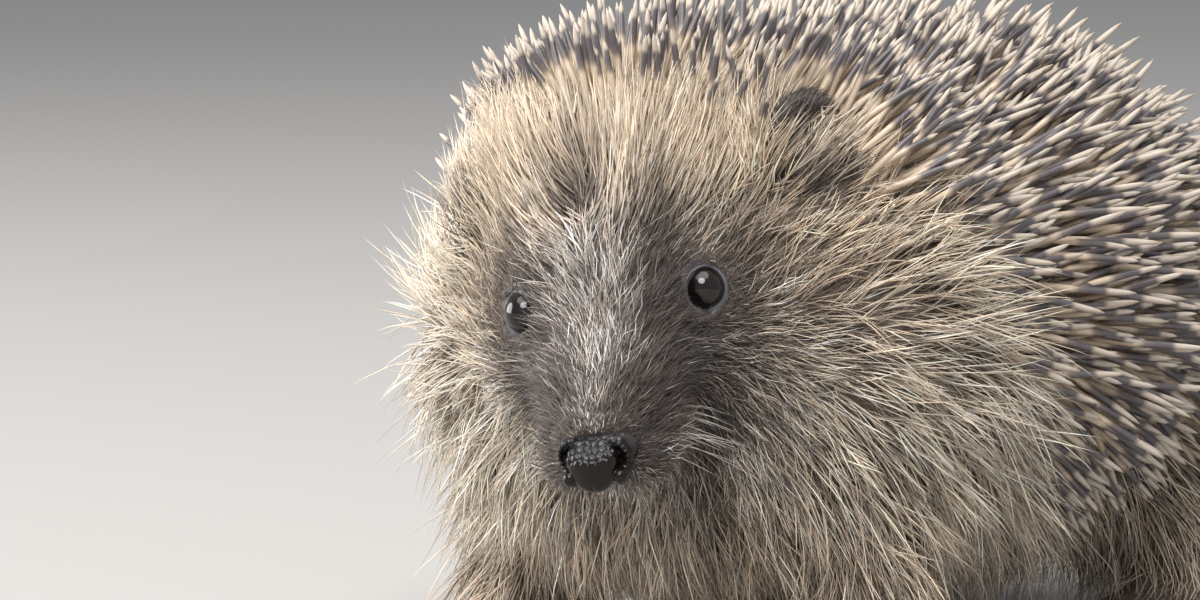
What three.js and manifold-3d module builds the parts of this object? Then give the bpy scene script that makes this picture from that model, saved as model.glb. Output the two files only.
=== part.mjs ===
// A European hedgehog standing with its head turned a little to its left, as a still, life-size model.
// Millimetres, +Z up. The animal faces -Y, so its left is +X. The origin is on the ground, under the middle
// of the whole animal. The solids are the outline of the coat: they reach to the tips of fur and spines.
import * as THREE from "three";
import { mergeVertices } from "three/addons/utils/BufferGeometryUtils.js";
import Module from "manifold-3d";

const wasm = await Module();
wasm.setup();

// ---- driving sizes -------------------------------------------------------------------------------------
const chestAt = -84; // front of the neck's fur, along Y
const rumpAt = 92;
const halfWidth = 60; // of the trunk, over the spines
const backHeight = 105; // ground to the tips of the highest spines
const skirtHeight = 8; // ground to the lowest hairs of the flank
const girthHeight = 43; // where the body is widest
const neckCut = -52; // the neck ends here and the trunk begins
const gap = 0.3; // between neighbouring pieces

const eyesAt = new THREE.Vector3(8, -88, 60); // midway between the eyes, from the middle of the trunk
const headTurn = THREE.MathUtils.degToRad(21); // to its left
const headBow = THREE.MathUtils.degToRad(21.7); // nose down
const headTilt = THREE.MathUtils.degToRad(9.4); // left ear up

const eyeRadius = 3.1;
const eyeAcross = 13.1; // from the middle of the head to the middle of an eyeball
const noseHalfWidth = 5.3;
const noseHalfHeight = 4.6;

// ---- finishes ------------------------------------------------------------------------------------------
const finish = (color, roughness) =>
  new THREE.MeshStandardMaterial({ color, roughness, metalness: 0 });
const spines = finish(0x8f8173, 0.6);
const fur = finish(0x9c8c7a, 0.85);
const darkFur = finish(0x5d5147, 0.85);
const bareSkin = finish(0x6a5a50, 0.6);
const wetSkin = finish(0x1c191a, 0.25);
const eyeball = finish(0x0a0808, 0.05);
const horn = finish(0x8a7764, 0.4);

// ---- making and cutting solids -------------------------------------------------------------------------

// The height of a smooth curve through [place, value] pairs, at a place between them.
function through(pairs, at) {
  const last = pairs.length - 2;
  let k = 0;
  while (k < last && at > pairs[k + 1][0]) k += 1;
  const slope = (i) => {
    const before = pairs[Math.max(i - 1, 0)];
    const after = pairs[Math.min(i + 1, pairs.length - 1)];
    return (after[1] - before[1]) / (after[0] - before[0]);
  };
  const [start, end] = [pairs[k], pairs[k + 1]];
  const span = end[0] - start[0];
  const t = Math.min(Math.max((at - start[0]) / span, 0), 1);
  return (
    (1 + 2 * t) * (1 - t) ** 2 * start[1] +
    t * (1 - t) ** 2 * span * slope(k) +
    t * t * (3 - 2 * t) * end[1] +
    t * t * (t - 1) * span * slope(k + 1)
  );
}

// A closed body along Y: a sphere whose rings are moved onto the sections of a profile. The profile gives
// wide (half width), top and bottom at any y between from and to, and may give x (sideways shift), girth
// (height of the widest line) and boxy (how full the section is: 1 is an ellipse, less is fuller). cap is
// the share of each half of the length that is rounded off.
function loft({ from, to, cap, sides, rings, profile }, grow = 0) {
  const sphere = new THREE.SphereGeometry(1, sides, rings).rotateX(Math.PI / 2);
  const at = sphere.getAttribute("position");
  const point = new THREE.Vector3();
  const fuller = (value, power) => Math.sign(value) * Math.abs(value) ** power;
  for (let i = 0; i < at.count; i += 1) {
    point.fromBufferAttribute(at, i);
    const ring = Math.hypot(point.x, point.z);
    const [a, b] = ring > 1e-6 ? [point.x / ring, point.z / ring] : [0, 0];
    // Rings spread evenly along the length, apart from the round caps.
    const share = 1 - (2 * Math.acos(THREE.MathUtils.clamp(point.y, -1, 1))) / Math.PI;
    const into = Math.max(Math.abs(share) - (1 - cap), 0) / cap;
    const round = Math.cos((into * Math.PI) / 2);
    const beyond = Math.sin((into * Math.PI) / 2) * cap + Math.min(Math.abs(share), 1 - cap);
    const y = THREE.MathUtils.lerp(from - grow, to + grow, (Math.sign(share) * beyond + 1) / 2);
    const section = profile(THREE.MathUtils.clamp(y, from, to));
    const { wide, top, bottom, x = 0, girth = (top + bottom) / 2, boxy = 1 } = section;
    const tall = grow + (b > 0 ? top - girth : girth - bottom);
    at.setXYZ(
      i,
      x + fuller(a, boxy) * (wide + grow) * round,
      y,
      girth + fuller(b, boxy) * tall * round,
    );
  }
  return sphere;
}

// An ellipsoid.
const egg = (wide, long, tall, sides, rings) =>
  new THREE.SphereGeometry(1, sides, rings).rotateX(Math.PI / 2).scale(wide, long, tall);

function solidOf(geometry) {
  const bare = geometry.clone();
  for (const name of ["normal", "uv"]) bare.deleteAttribute(name);
  const merged = mergeVertices(bare, 1e-4);
  return new wasm.Manifold(
    new wasm.Mesh({
      numProp: 3,
      vertProperties: merged.getAttribute("position").array,
      triVerts: new Uint32Array(merged.index.array),
    }),
  );
}

function geometryOf(solid) {
  const { vertProperties, triVerts } = solid.getMesh();
  const geometry = new THREE.BufferGeometry();
  geometry.setAttribute("position", new THREE.BufferAttribute(vertProperties, 3));
  geometry.setIndex(new THREE.BufferAttribute(triVerts, 1));
  return geometry;
}

// A named mesh in a group. shape(grow) makes its geometry, larger by grow on every side.
function piece(group, name, material, shape) {
  const mesh = new THREE.Mesh(shape(0), material);
  mesh.name = name;
  mesh.userData.shape = shape;
  group.add(mesh);
  return mesh;
}

// Cuts from a piece what its neighbours fill, and the gap round them.
function fitRound(mesh, ...neighbours) {
  root.updateMatrixWorld(true);
  const toMesh = mesh.matrixWorld.clone().invert();
  let solid = solidOf(mesh.geometry);
  for (const other of neighbours) {
    const grown = other.userData.shape(gap).applyMatrix4(other.matrixWorld).applyMatrix4(toMesh);
    solid = solid.subtract(solidOf(grown));
  }
  const bodies = solid.decompose().sort((p, q) => q.volume() - p.volume());
  mesh.geometry = geometryOf(bodies[0]);
}

// Keeps the part of a piece between two heights (or two places along Y), in the piece's own frame.
function keepBetween(mesh, axis, low, high) {
  const wide = 600;
  const size = [wide, wide, wide];
  const middle = [0, 0, 0];
  size[axis] = high - low;
  middle[axis] = (high + low) / 2;
  const slab = new THREE.BoxGeometry(...size).translate(...middle);
  mesh.geometry = geometryOf(solidOf(mesh.geometry).intersect(solidOf(slab)));
}

const root = new THREE.Group();
const animal = new THREE.Group();
root.add(animal);
const head = new THREE.Group();
head.position.copy(eyesAt);
head.rotation.set(headBow, -headTilt, headTurn, "ZXY");
animal.add(head);

// ---- neck and trunk ------------------------------------------------------------------------------------
// One smooth body from the ruff round the face to the rump, cut into the neck, the spiny mantle and the
// furred flanks with the belly.
const bodyProfile = (y) => ({
  wide: through([[-84, 40], [-66, 49.5], [-45, 56], [-15, 59.5], [15, halfWidth], [50, 57], [75, 49], [92, 40]], y),
  top: through([[-84, 89], [-66, 97], [-45, 102], [-5, backHeight], [30, 103], [60, 93], [92, 72]], y),
  bottom: through([[-84, 12], [-66, 9], [-40, skirtHeight], [50, skirtHeight], [75, 9], [92, 13]], y),
  girth: through([[-84, 56], [-60, 50], [-20, girthHeight], [40, girthHeight - 3], [92, 38]], y),
  x: through([[-84, 3], [-40, 0], [92, 0]], y),
  boxy: 0.86,
});
const bodyShape = (grow) =>
  loft({ from: chestAt, to: rumpAt, cap: 0.48, sides: 24, rings: 24, profile: bodyProfile }, grow);

// Seen from the side, everything above this line wears spines: [y, height] pairs from crown to tail.
const hem = [[-120, 78], [-62, 74], [-46, 56], [-32, 34], [-14, 24], [40, 21], [75, 23], [120, 27]];
function aboveHem(lift) {
  const line = new THREE.Shape();
  line.moveTo(-120, 300);
  for (let y = -120; y <= 120; y += 8) line.lineTo(y, through(hem, y) + lift);
  line.lineTo(120, 300);
  return new THREE.ExtrudeGeometry(line, { depth: 400, bevelEnabled: false })
    .translate(0, 0, -200)
    .applyMatrix4(new THREE.Matrix4().makeBasis(
      new THREE.Vector3(0, 1, 0), new THREE.Vector3(0, 0, 1), new THREE.Vector3(1, 0, 0)));
}

const mantle = piece(animal, "spiny_back", spines, bodyShape);
keepBetween(mantle, 1, neckCut + gap / 2, 300);
mantle.geometry = geometryOf(solidOf(mantle.geometry).intersect(solidOf(aboveHem(gap / 2))));
const underside = piece(animal, "belly_and_flanks", fur, bodyShape);
keepBetween(underside, 1, neckCut + gap / 2, 300);
underside.geometry = geometryOf(solidOf(underside.geometry).subtract(solidOf(aboveHem(-gap / 2))));
const neck = piece(animal, "neck", fur, bodyShape);
keepBetween(neck, 1, -300, neckCut - gap / 2);

// ---- head ----------------------------------------------------------------------------------------------
// Along the head, y runs from the tip of the snout (negative) to the nape. Heights are from the eye line.
const headProfile = (y) => ({
  wide: through([[-32, 5.3], [-22, 7.6], [-14, 10.2], [-6, 13], [0, 15.4], [8, 20.5], [20, 26], [32, 24]], y),
  top: through([[-32, -5], [-20, -2.4], [-10, 1.6], [0, 6.8], [8, 12.5], [20, 20], [32, 20]], y),
  bottom: through([[-32, -12.4], [-18, -14.6], [-8, -17], [0, -21], [12, -26], [32, -26]], y),
});
const snoutJoint = -7; // where the snout meets the face, ahead of the eyes
const headShape = (grow) =>
  loft({ from: -32, to: 32, cap: 0.14, sides: 20, rings: 18, profile: headProfile }, grow);

const eyes = [];
for (const [name, side] of [["left", 1], ["right", -1]]) {
  const shape = (grow) => egg(eyeRadius + grow, eyeRadius + grow, eyeRadius + grow, 14, 10);
  const eye = piece(head, "eye_" + name, eyeball, shape);
  eye.position.set(side * eyeAcross, 0, 0);
  eyes.push(eye);
}

// The bare nose: a rounded pad with a comma-shaped nostril cut into each side.
const noseMiddle = [0, -31.4, -8.8];
const noseShape = (grow) =>
  egg(noseHalfWidth + grow, 4 + grow, noseHalfHeight + grow, 14, 10);
const nose = piece(head, "nose", wetSkin, noseShape);
nose.position.set(...noseMiddle);
for (const side of [-1, 1]) {
  const nostril = egg(0.9, 2.2, 1.7, 8, 6)
    .rotateY(side * 0.5)
    .translate(side * 3.6, -3, -0.4);
  nose.geometry = geometryOf(solidOf(nose.geometry).subtract(solidOf(nostril)));
}

const jawProfile = (y) => ({
  wide: through([[-23, 3.6], [-12, 5.6], [0, 9], [8, 11]], y),
  top: through([[-22, -13.5], [-12, -12], [0, -12], [8, -14]], y),
  bottom: through([[-22, -18.6], [-12, -20.6], [0, -24.5], [8, -27]], y),
});
const jawShape = (grow) =>
  loft({ from: -23.5, to: 8, cap: 0.3, sides: 14, rings: 10, profile: jawProfile }, grow);
const snout = piece(head, "snout", fur, headShape);
keepBetween(snout, 1, -100, snoutJoint - gap / 2);
const face = piece(head, "head", fur, headShape);
keepBetween(face, 1, snoutJoint + gap / 2, 100);
const jaw = piece(head, "lower_jaw", fur, jawShape);

// Each ear is a rounded dish. The left one is open forwards and outwards; the right one lies back.
const ears = [];
const earShape = (grow) => {
  const pinna = solidOf(egg(7.4 + grow, 2.5 + grow, 9 + grow, 12, 8));
  if (grow) return geometryOf(pinna);
  const dish = egg(5.7, 2.1, 7, 10, 6).translate(0, -2.1, 1.2);
  return geometryOf(pinna.subtract(solidOf(dish)));
};
const earPlaces = [
  { name: "left", at: [28.2, 21, 9.3], turned: [-0.3, 0.35, 0.75] },
  { name: "right", at: [-22, 23.5, 8], turned: [-0.5, -0.3, -1.35] },
];
for (const { name, at, turned } of earPlaces) {
  const ear = piece(head, "ear_" + name, darkFur, earShape);
  ear.position.set(...at);
  ear.rotation.set(...turned, "ZYX");
  ears.push(ear);
}

// ---- tail ----------------------------------------------------------------------------------------------
const tailShape = (grow) =>
  loft({ from: 0, to: 24, cap: 0.2, sides: 8, rings: 8, profile: (y) => ({
    wide: through([[0, 4.4], [12, 3.4], [24, 1.7]], y),
    top: through([[0, 4.4], [12, 2.2], [24, -2.6]], y),
    bottom: through([[0, -4.4], [12, -4.8], [24, -6]], y),
  }) }, grow);
const tail = piece(animal, "tail", bareSkin, tailShape);
tail.position.set(0, 74, 22);

// ---- legs, feet and claws ------------------------------------------------------------------------------
// A leg comes down out of the coat to the wrist or heel. Its loft runs along Y and is then stood upright.
const legShape = ({ height, atTop, atFoot }) => (grow) =>
  loft({ from: 0, to: height, cap: 0.25, sides: 10, rings: 6, profile: (y) => {
    const thick = THREE.MathUtils.lerp(atFoot, atTop, y / height);
    return { wide: thick, top: thick * 1.1, bottom: -thick * 1.1 };
  } }, grow).rotateX(Math.PI / 2);

// A foot: a palm with toes fanned in front of it, all cut off flat on the ground.
const footShape = ({ palm, toes, reach, spread, toe }) => (grow) => {
  const [wide, long, tall] = palm;
  let solid = solidOf(egg(wide + grow, long + grow, tall + grow, 12, 6).translate(0, 0, 0.42 * tall));
  for (let k = 0; k < toes; k += 1) {
    const turn = (k - (toes - 1) / 2) * spread;
    const far = reach * (1 - 0.35 * turn * turn);
    const one = egg(toe + grow, 2.1 * toe + grow, toe + grow, 6, 4)
      .translate(0, -far + toe, 0.6 * toe)
      .rotateZ(turn);
    solid = solid.add(solidOf(one));
  }
  const ground = new THREE.BoxGeometry(200, 200, 100).translate(0, 0, -50 - grow);
  return geometryOf(solid.subtract(solidOf(ground)));
};

// A claw: a short curved horn that tapers to its tip.
const clawShape = (length) => (grow) =>
  loft({ from: -length, to: 1.6, cap: 0.16, sides: 5, rings: 5, profile: (y) => {
    const out = Math.max(-y, 0) / length;
    const thick = 1.15 * (1 - 0.72 * out);
    const droop = -0.2 * length * out * out;
    return { wide: thick * 0.8, top: thick + droop, bottom: -thick + droop };
  } }, grow);

const limbs = [
  { name: "front", x: 29, y: -54, lean: 4, toesOut: 0.12, claw: 6.2,
    leg: { height: 28, atTop: 9, atFoot: 6 },
    foot: { palm: [6.8, 8.4, 5.6], toes: 5, reach: 12, spread: 0.36, toe: 2.2 } },
  { name: "hind", x: 33, y: 42, lean: -5, toesOut: 0.2, claw: 5.4,
    leg: { height: 28, atTop: 11, atFoot: 6.6 },
    foot: { palm: [6.6, 15, 5.2], toes: 5, reach: 19, spread: 0.22, toe: 2.2 } },
];

const feet = [];
for (const [sideName, side] of [["left", 1], ["right", -1]]) {
  for (const limb of limbs) {
    const place = new THREE.Group();
    place.position.set(side * limb.x, limb.y, 0);
    place.rotation.z = side * limb.toesOut;
    animal.add(place);
    const { foot: plan } = limb;
    const foot = piece(place, `${limb.name}_foot_${sideName}`, bareSkin, footShape(plan));
    feet.push(foot);
    const leg = piece(place, `${limb.name}_leg_${sideName}`, darkFur, legShape(limb.leg));
    leg.position.set(0, limb.lean, 3);
    fitRound(leg, foot, underside);
    for (let k = 0; k < plan.toes; k += 1) {
      const turn = (k - (plan.toes - 1) / 2) * plan.spread;
      const far = plan.reach * (1 - 0.35 * turn * turn);
      const claw = piece(place, `${limb.name}_claw_${sideName}_${k + 1}`, horn, clawShape(limb.claw));
      claw.position.set(Math.sin(turn) * (far + 0.9), -Math.cos(turn) * (far + 0.9), 2.6);
      claw.rotation.z = turn;
      fitRound(claw, foot);
    }
  }
}

// ---- fitting the pieces together -----------------------------------------------------------------------
fitRound(snout, nose);
fitRound(jaw, snout, nose);
fitRound(face, jaw, ...eyes, ...ears);
fitRound(neck, face, jaw, snout, ...ears, ...feet);
fitRound(mantle, ...ears);
fitRound(underside, ...feet);
fitRound(tail, mantle, underside);

// ---- the origin goes under the middle of the whole animal ------------------------------------------------
root.updateMatrixWorld(true);
const box = new THREE.Box3().setFromObject(root, true);
const middle = box.getCenter(new THREE.Vector3());
animal.position.set(-middle.x, -middle.y, -box.min.z);

export default root;
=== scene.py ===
# A European hedgehog, standing. One skin, eyes, nose and claws, then hair and spines as solid mesh.
# Millimetres are used while shapes are worked out, metres in the finished meshes.
import math

import bmesh
import bpy
import numpy as np
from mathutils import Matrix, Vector


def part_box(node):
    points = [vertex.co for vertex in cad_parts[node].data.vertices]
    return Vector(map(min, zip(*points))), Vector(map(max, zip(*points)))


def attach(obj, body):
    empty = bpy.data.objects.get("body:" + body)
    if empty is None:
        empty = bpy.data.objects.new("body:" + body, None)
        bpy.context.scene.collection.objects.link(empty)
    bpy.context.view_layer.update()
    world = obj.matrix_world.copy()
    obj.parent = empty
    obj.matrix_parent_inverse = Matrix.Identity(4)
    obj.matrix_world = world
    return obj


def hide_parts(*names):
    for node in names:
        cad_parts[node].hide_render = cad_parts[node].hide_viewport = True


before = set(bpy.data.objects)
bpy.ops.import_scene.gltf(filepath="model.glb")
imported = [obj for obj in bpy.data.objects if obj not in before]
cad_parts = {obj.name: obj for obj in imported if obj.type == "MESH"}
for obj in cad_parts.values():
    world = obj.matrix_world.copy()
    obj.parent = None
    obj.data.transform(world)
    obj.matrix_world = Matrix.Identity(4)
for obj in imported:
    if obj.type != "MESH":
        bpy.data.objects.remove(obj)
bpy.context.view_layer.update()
print("frame loaded:", len(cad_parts), "nodes, quick look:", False)


# Where things are: the pose of the head, and the way between the head, mid trunk and the row frame
pose = dict(eyes=(8.0, -88.0, 60.0), turn=21.0, bow=21.7, tilt=9.4)  # as the solids have it, from mid trunk


def turnAbout(axis, degrees):
    c, s = math.cos(math.radians(degrees)), math.sin(math.radians(degrees))
    i, j = {"x": (1, 2), "y": (2, 0), "z": (0, 1)}[axis]
    m = np.eye(3)
    m[i, i], m[i, j], m[j, i], m[j, j] = c, -s, s, c
    return m


headTurn = turnAbout("z", pose["turn"]) @ turnAbout("x", pose["bow"]) @ turnAbout("y", -pose["tilt"])
headPlace = np.array(pose["eyes"])


def fromHead(p):
    return np.asarray(p, float) @ headTurn.T + headPlace


def toHead(p):
    return (p - headPlace) @ headTurn


def boxMiddle(node):
    low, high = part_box(node)
    return np.array((low + high) / 2) * 1000.0


eyeMiddles = [boxMiddle("eye_left"), boxMiddle("eye_right")]
origin = (eyeMiddles[0] + eyeMiddles[1]) / 2 - headPlace  # mid trunk on the ground, in the row frame


# Solid shapes as distances, negative inside
def egg(p, middle, radii):
    q = p - np.asarray(middle, float)
    r = np.asarray(radii, float)
    out = np.sqrt(((q / r) ** 2).sum(-1)) + 1e-9
    slope = np.sqrt(((q / r ** 2) ** 2).sum(-1)) + 1e-9
    return out * (out - 1.0) / slope


def limb(p, a, b, ra, rb):
    # a round-ended cone from a to b
    a, b = np.asarray(a, float), np.asarray(b, float)
    along = b - a
    share = np.clip(((p - a) @ along) / (along @ along), 0, 1)
    off = p - a - share[..., None] * along
    return np.sqrt((off ** 2).sum(-1)) - (ra + (rb - ra) * share)


def blendIn(d, e, soft):
    h = np.clip(0.5 + 0.5 * (e - d) / soft, 0, 1)
    return e + (d - e) * h - soft * h * (1 - h)


def carve(d, e, soft):
    return -blendIn(-d, e, soft)


def mirrored(p):
    # both sides as one
    return np.stack([np.abs(p[..., 0]), p[..., 1], p[..., 2]], -1)


skin = dict(
    trunkMiddle=(0, 4, 51.5), trunkRadii=(46, 77, 37.5),
    shoulderMiddle=(1, -50, 54), shoulderRadii=(40, 30, 34),
    eyeRadius=3.1, eyeAcross=13.1, gaze=(0.52, -0.77, 0.36),
    neckFrom=(0, 24, -4), neckTo=(1, -52, 56), neckRadii=(21, 30),
    tail=((0, 74, 26), (0, 95, 17.5), 4.2, 1.7), legFront=(29, -54), legHind=(33, 42),
    headStep=0.7, bodyStep=2.4,
)
gazeLeft = np.array(skin["gaze"]) / np.linalg.norm(skin["gaze"])
earLeft = dict(middle=(28.2, 21.0, 9.3), turned=(-0.3, 0.35, 0.75))
earRight = dict(middle=(-22.0, 23.5, 8.0), turned=(-0.5, -0.3, -1.35))
for ear in (earLeft, earRight):
    rx, ry, rz = [math.degrees(a) for a in ear["turned"]]
    ear["turn"] = turnAbout("z", rz) @ turnAbout("y", ry) @ turnAbout("x", rx)


# each part of the head: the middle and radii of an egg, or both ends and radii of a limb;
# eyeDish and eyeHole are radii, and eyeDishOut is how far before the eye the dish has its middle
head = dict(
    skull=((0, 20, -2), (20, 27, 17)), muzzle=((0, 3, -5.5), (0, -26.5, -8.6), 13.2, 5.2),
    cheek=((12.5, 15, -10), (11, 15, 12)), browRidge=((11.6, 3.0, -0.6), (3.6, 6.0, 4.8)),
    upperLip=((4.4, -18, -12.6), (4.6, 11.5, 4.4)), jaw=((0, 9, -18.5), (0, -17.5, -16.9), 8.2, 3.3),
    eyeDish=8.5, eyeDishOut=9.4, eyeHole=3.8, noseHole=((0, -33.0, -9.0), (5.0, 4.0, 4.3)),
    pinna=((0, 0, 0), (7.3, 2.5, 8.9)), pinnaDish=((0, -2.3, 1.0), (5.9, 2.3, 7.3)), earBase=(7, 6.5, 8),
)


def earShape(p, ear):
    q = (p - np.array(ear["middle"])) @ ear["turn"]
    return carve(egg(q, *head["pinna"]), egg(q, *head["pinnaDish"]), 0.5)


def headShape(p, eyesOpen=True):
    # p is in the head's own frame: x to its left, y backwards, z up, from midway between the eyes
    side = mirrored(p)
    d = egg(p, *head["skull"])
    d = blendIn(d, limb(p, *head["muzzle"]), 7)
    d = blendIn(d, egg(side, *head["cheek"]), 7)
    d = blendIn(d, egg(side, *head["browRidge"]), 3.5)
    d = blendIn(d, egg(side, *head["upperLip"]), 2.2)
    d = blendIn(d, limb(p, *head["jaw"]), 1.1)
    eye = np.array((skin["eyeAcross"], 0, 0))
    d = carve(d, egg(side, eye + gazeLeft * head["eyeDishOut"], [head["eyeDish"]] * 3), 1.6)
    if eyesOpen:
        d = carve(d, egg(side, eye, [head["eyeHole"]] * 3), 0.4)
        d = carve(d, egg(p, *head["noseHole"]), 0.8)
    for ear in (earLeft, earRight):
        base = egg(p, np.array(ear["middle"]) * (0.82, 1, 0.5), head["earBase"])
        d = blendIn(d, base, 5)
        d = blendIn(d, earShape(p, ear), 1.2)
    return d


def bodyShape(p):
    d = egg(p, skin["trunkMiddle"], skin["trunkRadii"])
    d = blendIn(d, egg(p, skin["shoulderMiddle"], skin["shoulderRadii"]), 16)
    side = mirrored(p)
    fx, fy = skin["legFront"]
    hx, hy = skin["legHind"]
    d = blendIn(d, limb(side, (fx - 3, fy + 8, 34), (fx - 0.5, fy + 5, 8), 9.5, 4.6), 5)
    d = blendIn(d, limb(side, (hx - 4, hy - 4, 36), (hx - 0.5, hy - 2, 8), 13, 5.2), 5)
    return blendIn(d, limb(p, *skin["tail"]), 3)


def neckShape(p):
    return limb(p, fromHead(skin["neckFrom"]), skin["neckTo"], *skin["neckRadii"])


def skinShape(p):
    d = blendIn(bodyShape(p), neckShape(p), 10)
    return blendIn(d, headShape(toHead(p)), 6)


footPlans = dict(
    front=dict(palm=(6.4, 8.0, 5.2), toes=5, reach=12.0, spread=0.36, toe=1.95, out=0.12, heel=2,
               at=skin["legFront"]),
    hind=dict(palm=(6.2, 14.4, 4.8), toes=5, reach=19.0, spread=0.22, toe=1.95, out=0.2, heel=-5,
              at=skin["legHind"]),
)


def toeLine(plan, k):
    # how far a toe reaches, and its way
    turn = (k - (plan["toes"] - 1) / 2) * plan["spread"]
    far = plan["reach"] * (1 - 0.35 * turn * turn)
    return far, np.array([math.sin(turn), -math.cos(turn)])


def footShape(p, plan):
    # p in the foot's own frame, toes along -y, sole at z = 0
    wide, long, tall = plan["palm"]
    d = egg(p, (0, 0, 0.42 * tall), (wide, long, tall))
    d = blendIn(d, limb(p, (0, plan["heel"] + 1, 3.2), (0, plan["heel"] + 3, 24), 4.6, 6.2), 3)
    for k in range(plan["toes"]):
        far, way = toeLine(plan, k)
        toe = plan["toe"]
        root = (*(way * (far - 3.6 * toe)), 1.5 * toe)
        knuckle = (*(way * (far - 1.3 * toe)), 1.12 * toe)
        tip = (*(way * (far + 0.35 * toe)), 0.75 * toe)
        pad = (*(way * (far - 0.2 * toe)), 0.55 * toe)
        d = blendIn(d, limb(p, root, knuckle, toe * 0.95, toe * 0.95), 0.9)
        d = blendIn(d, limb(p, knuckle, tip, toe * 0.95, toe * 0.72), 0.3)
        d = blendIn(d, egg(p, pad, (toe * 0.9, toe * 1.1, toe * 0.62)), 0.3)
    for px, py in ((-2.6, -4.2), (2.6, -4.2), (0, -5.4), (-2.4, 3.6), (2.4, 3.6)):
        d = blendIn(d, egg(p, (px, py, 0.9), (2.1, 2.2, 1.3)), 0.5)  # pads of the sole
    return np.maximum(d, -p[..., 2])


def footFrame(name, side):
    plan = footPlans[name]
    turn = turnAbout("z", math.degrees(side * plan["out"]))
    place = np.array([side * plan["at"][0], plan["at"][1], 0.0])
    return plan, turn, place


# From distances to a mesh
def steps(*stretches):
    # grid lines: (from, to, step) stretches joined end to end
    lines = [stretches[0][0]]
    for start, stop, step in stretches:
        count = max(int(round((stop - start) / step)), 1)
        lines.extend(start + (stop - start) * (k + 1) / count for k in range(count))
    return np.array(lines)


def sampleGrid(shape, xs, ys, zs, block=6):
    # values on the grid lines; only blocks near the surface are worked out point by point
    values = np.full((len(xs), len(ys), len(zs)), 50.0, np.float32)
    cuts = [list(range(0, len(line), block)) for line in (xs, ys, zs)]
    middles, reach, spots = [], [], []
    for i in cuts[0]:
        for j in cuts[1]:
            for k in cuts[2]:
                ends = [line[[a, min(a + block, len(line) - 1)]]
                        for line, a in zip((xs, ys, zs), (i, j, k))]
                middles.append([e.mean() for e in ends])
                reach.append(math.sqrt(sum((e[1] - e[0]) ** 2 for e in ends)) / 2)
                spots.append((i, j, k))
    far = shape(np.array(middles))
    for (i, j, k), value, size in zip(spots, far, reach):
        part = (slice(i, i + block), slice(j, j + block), slice(k, k + block))
        if abs(value) > size * 1.5 + 2.0:
            values[part] = value
            continue
        grid = np.stack(np.meshgrid(xs[part[0]], ys[part[1]], zs[part[2]], indexing="ij"), -1)
        values[part] = shape(grid.reshape(-1, 3)).reshape(grid.shape[:3])
    return values


def skinOver(shape, xs, ys, zs, block=6):
    # points and quads of the surface where shape is zero
    values = sampleGrid(shape, xs, ys, zs, block)
    inside = values < 0
    count = [len(xs) - 1, len(ys) - 1, len(zs) - 1]
    total = np.zeros(count, np.int8)
    for a in (0, 1):
        for b in (0, 1):
            for c in (0, 1):
                total += inside[a:count[0] + a, b:count[1] + b, c:count[2] + c]
    cells = np.argwhere((total > 0) & (total < 8))
    index = -np.ones(count, np.int64)
    index[tuple(cells.T)] = np.arange(len(cells))
    sums, hits = np.zeros((len(cells), 3)), np.zeros(len(cells))
    lines = (xs, ys, zs)
    for axis in range(3):
        others = [k for k in range(3) if k != axis]
        for a in (0, 1):
            for b in (0, 1):
                start = cells.copy()
                start[:, others[0]] += a
                start[:, others[1]] += b
                stop = start.copy()
                stop[:, axis] += 1
                va, vb = values[tuple(start.T)], values[tuple(stop.T)]
                cross = (va < 0) != (vb < 0)
                share = np.where(cross, va / np.where(cross, va - vb, 1), 0)
                pa = np.stack([lines[k][start[:, k]] for k in range(3)], -1)
                pb = np.stack([lines[k][stop[:, k]] for k in range(3)], -1)
                sums += (pa + (pb - pa) * share[:, None]) * cross[:, None]
                hits += cross
    points = sums / hits[:, None]
    quads = []
    for axis in range(3):
        u, v = (axis + 1) % 3, (axis + 2) % 3
        low = np.take(inside, range(count[axis]), axis)
        high = np.take(inside, range(1, count[axis] + 1), axis)
        edges = np.argwhere(low != high)
        at = edges[:, u], edges[:, v]
        edges = edges[(at[0] > 0) & (at[1] > 0) & (at[0] < count[u]) & (at[1] < count[v])]
        corners = []
        for du, dv in ((-1, -1), (0, -1), (0, 0), (-1, 0)):
            cell = edges.copy()
            cell[:, u] += du
            cell[:, v] += dv
            corners.append(index[tuple(cell.T)])
        quad = np.stack(corners, -1)
        leaving = inside[tuple(edges.T)]
        quad[~leaving] = quad[~leaving][:, ::-1]
        quads.append(quad)
    quads = np.concatenate(quads)
    return points, quads[(quads >= 0).all(1)]


def slopeOf(shape, p, step=0.05):
    return np.stack([shape(p + e) - shape(p - e) for e in np.eye(3) * step], -1) / (2 * step)


def settle(shape, p, rounds=2):
    # moves points onto the surface
    for _ in range(rounds):
        slope = slopeOf(shape, p)
        off = np.clip(shape(p), -1.5, 1.5)
        p = p - off[:, None] * slope / np.maximum((slope ** 2).sum(-1), 0.3)[:, None]
    return p


def meshFrom(name, points, faces):
    # points in millimetres from mid trunk; faces all of one length
    mesh = bpy.data.meshes.new(name)
    size = faces.shape[1]
    mesh.vertices.add(len(points))
    mesh.vertices.foreach_set("co", ((points + origin) / 1000.0).astype(np.float32).ravel())
    mesh.loops.add(faces.size)
    mesh.loops.foreach_set("vertex_index", faces.astype(np.int32).ravel())
    mesh.polygons.add(len(faces))
    mesh.polygons.foreach_set("loop_start", np.arange(0, faces.size, size, dtype=np.int32))
    mesh.polygons.foreach_set("use_smooth", np.ones(len(faces), bool))
    mesh.update(calc_edges=True)
    obj = bpy.data.objects.new(name, mesh)
    bpy.context.scene.collection.objects.link(obj)
    return obj


def finishPiece(obj, material, slot, *nodes):
    # a finished piece: its material, its body and the nodes it stands for; slot is not used
    if material:
        obj.data.materials.append(material)
    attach(obj, "root")
    if nodes:
        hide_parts(*nodes)


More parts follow.
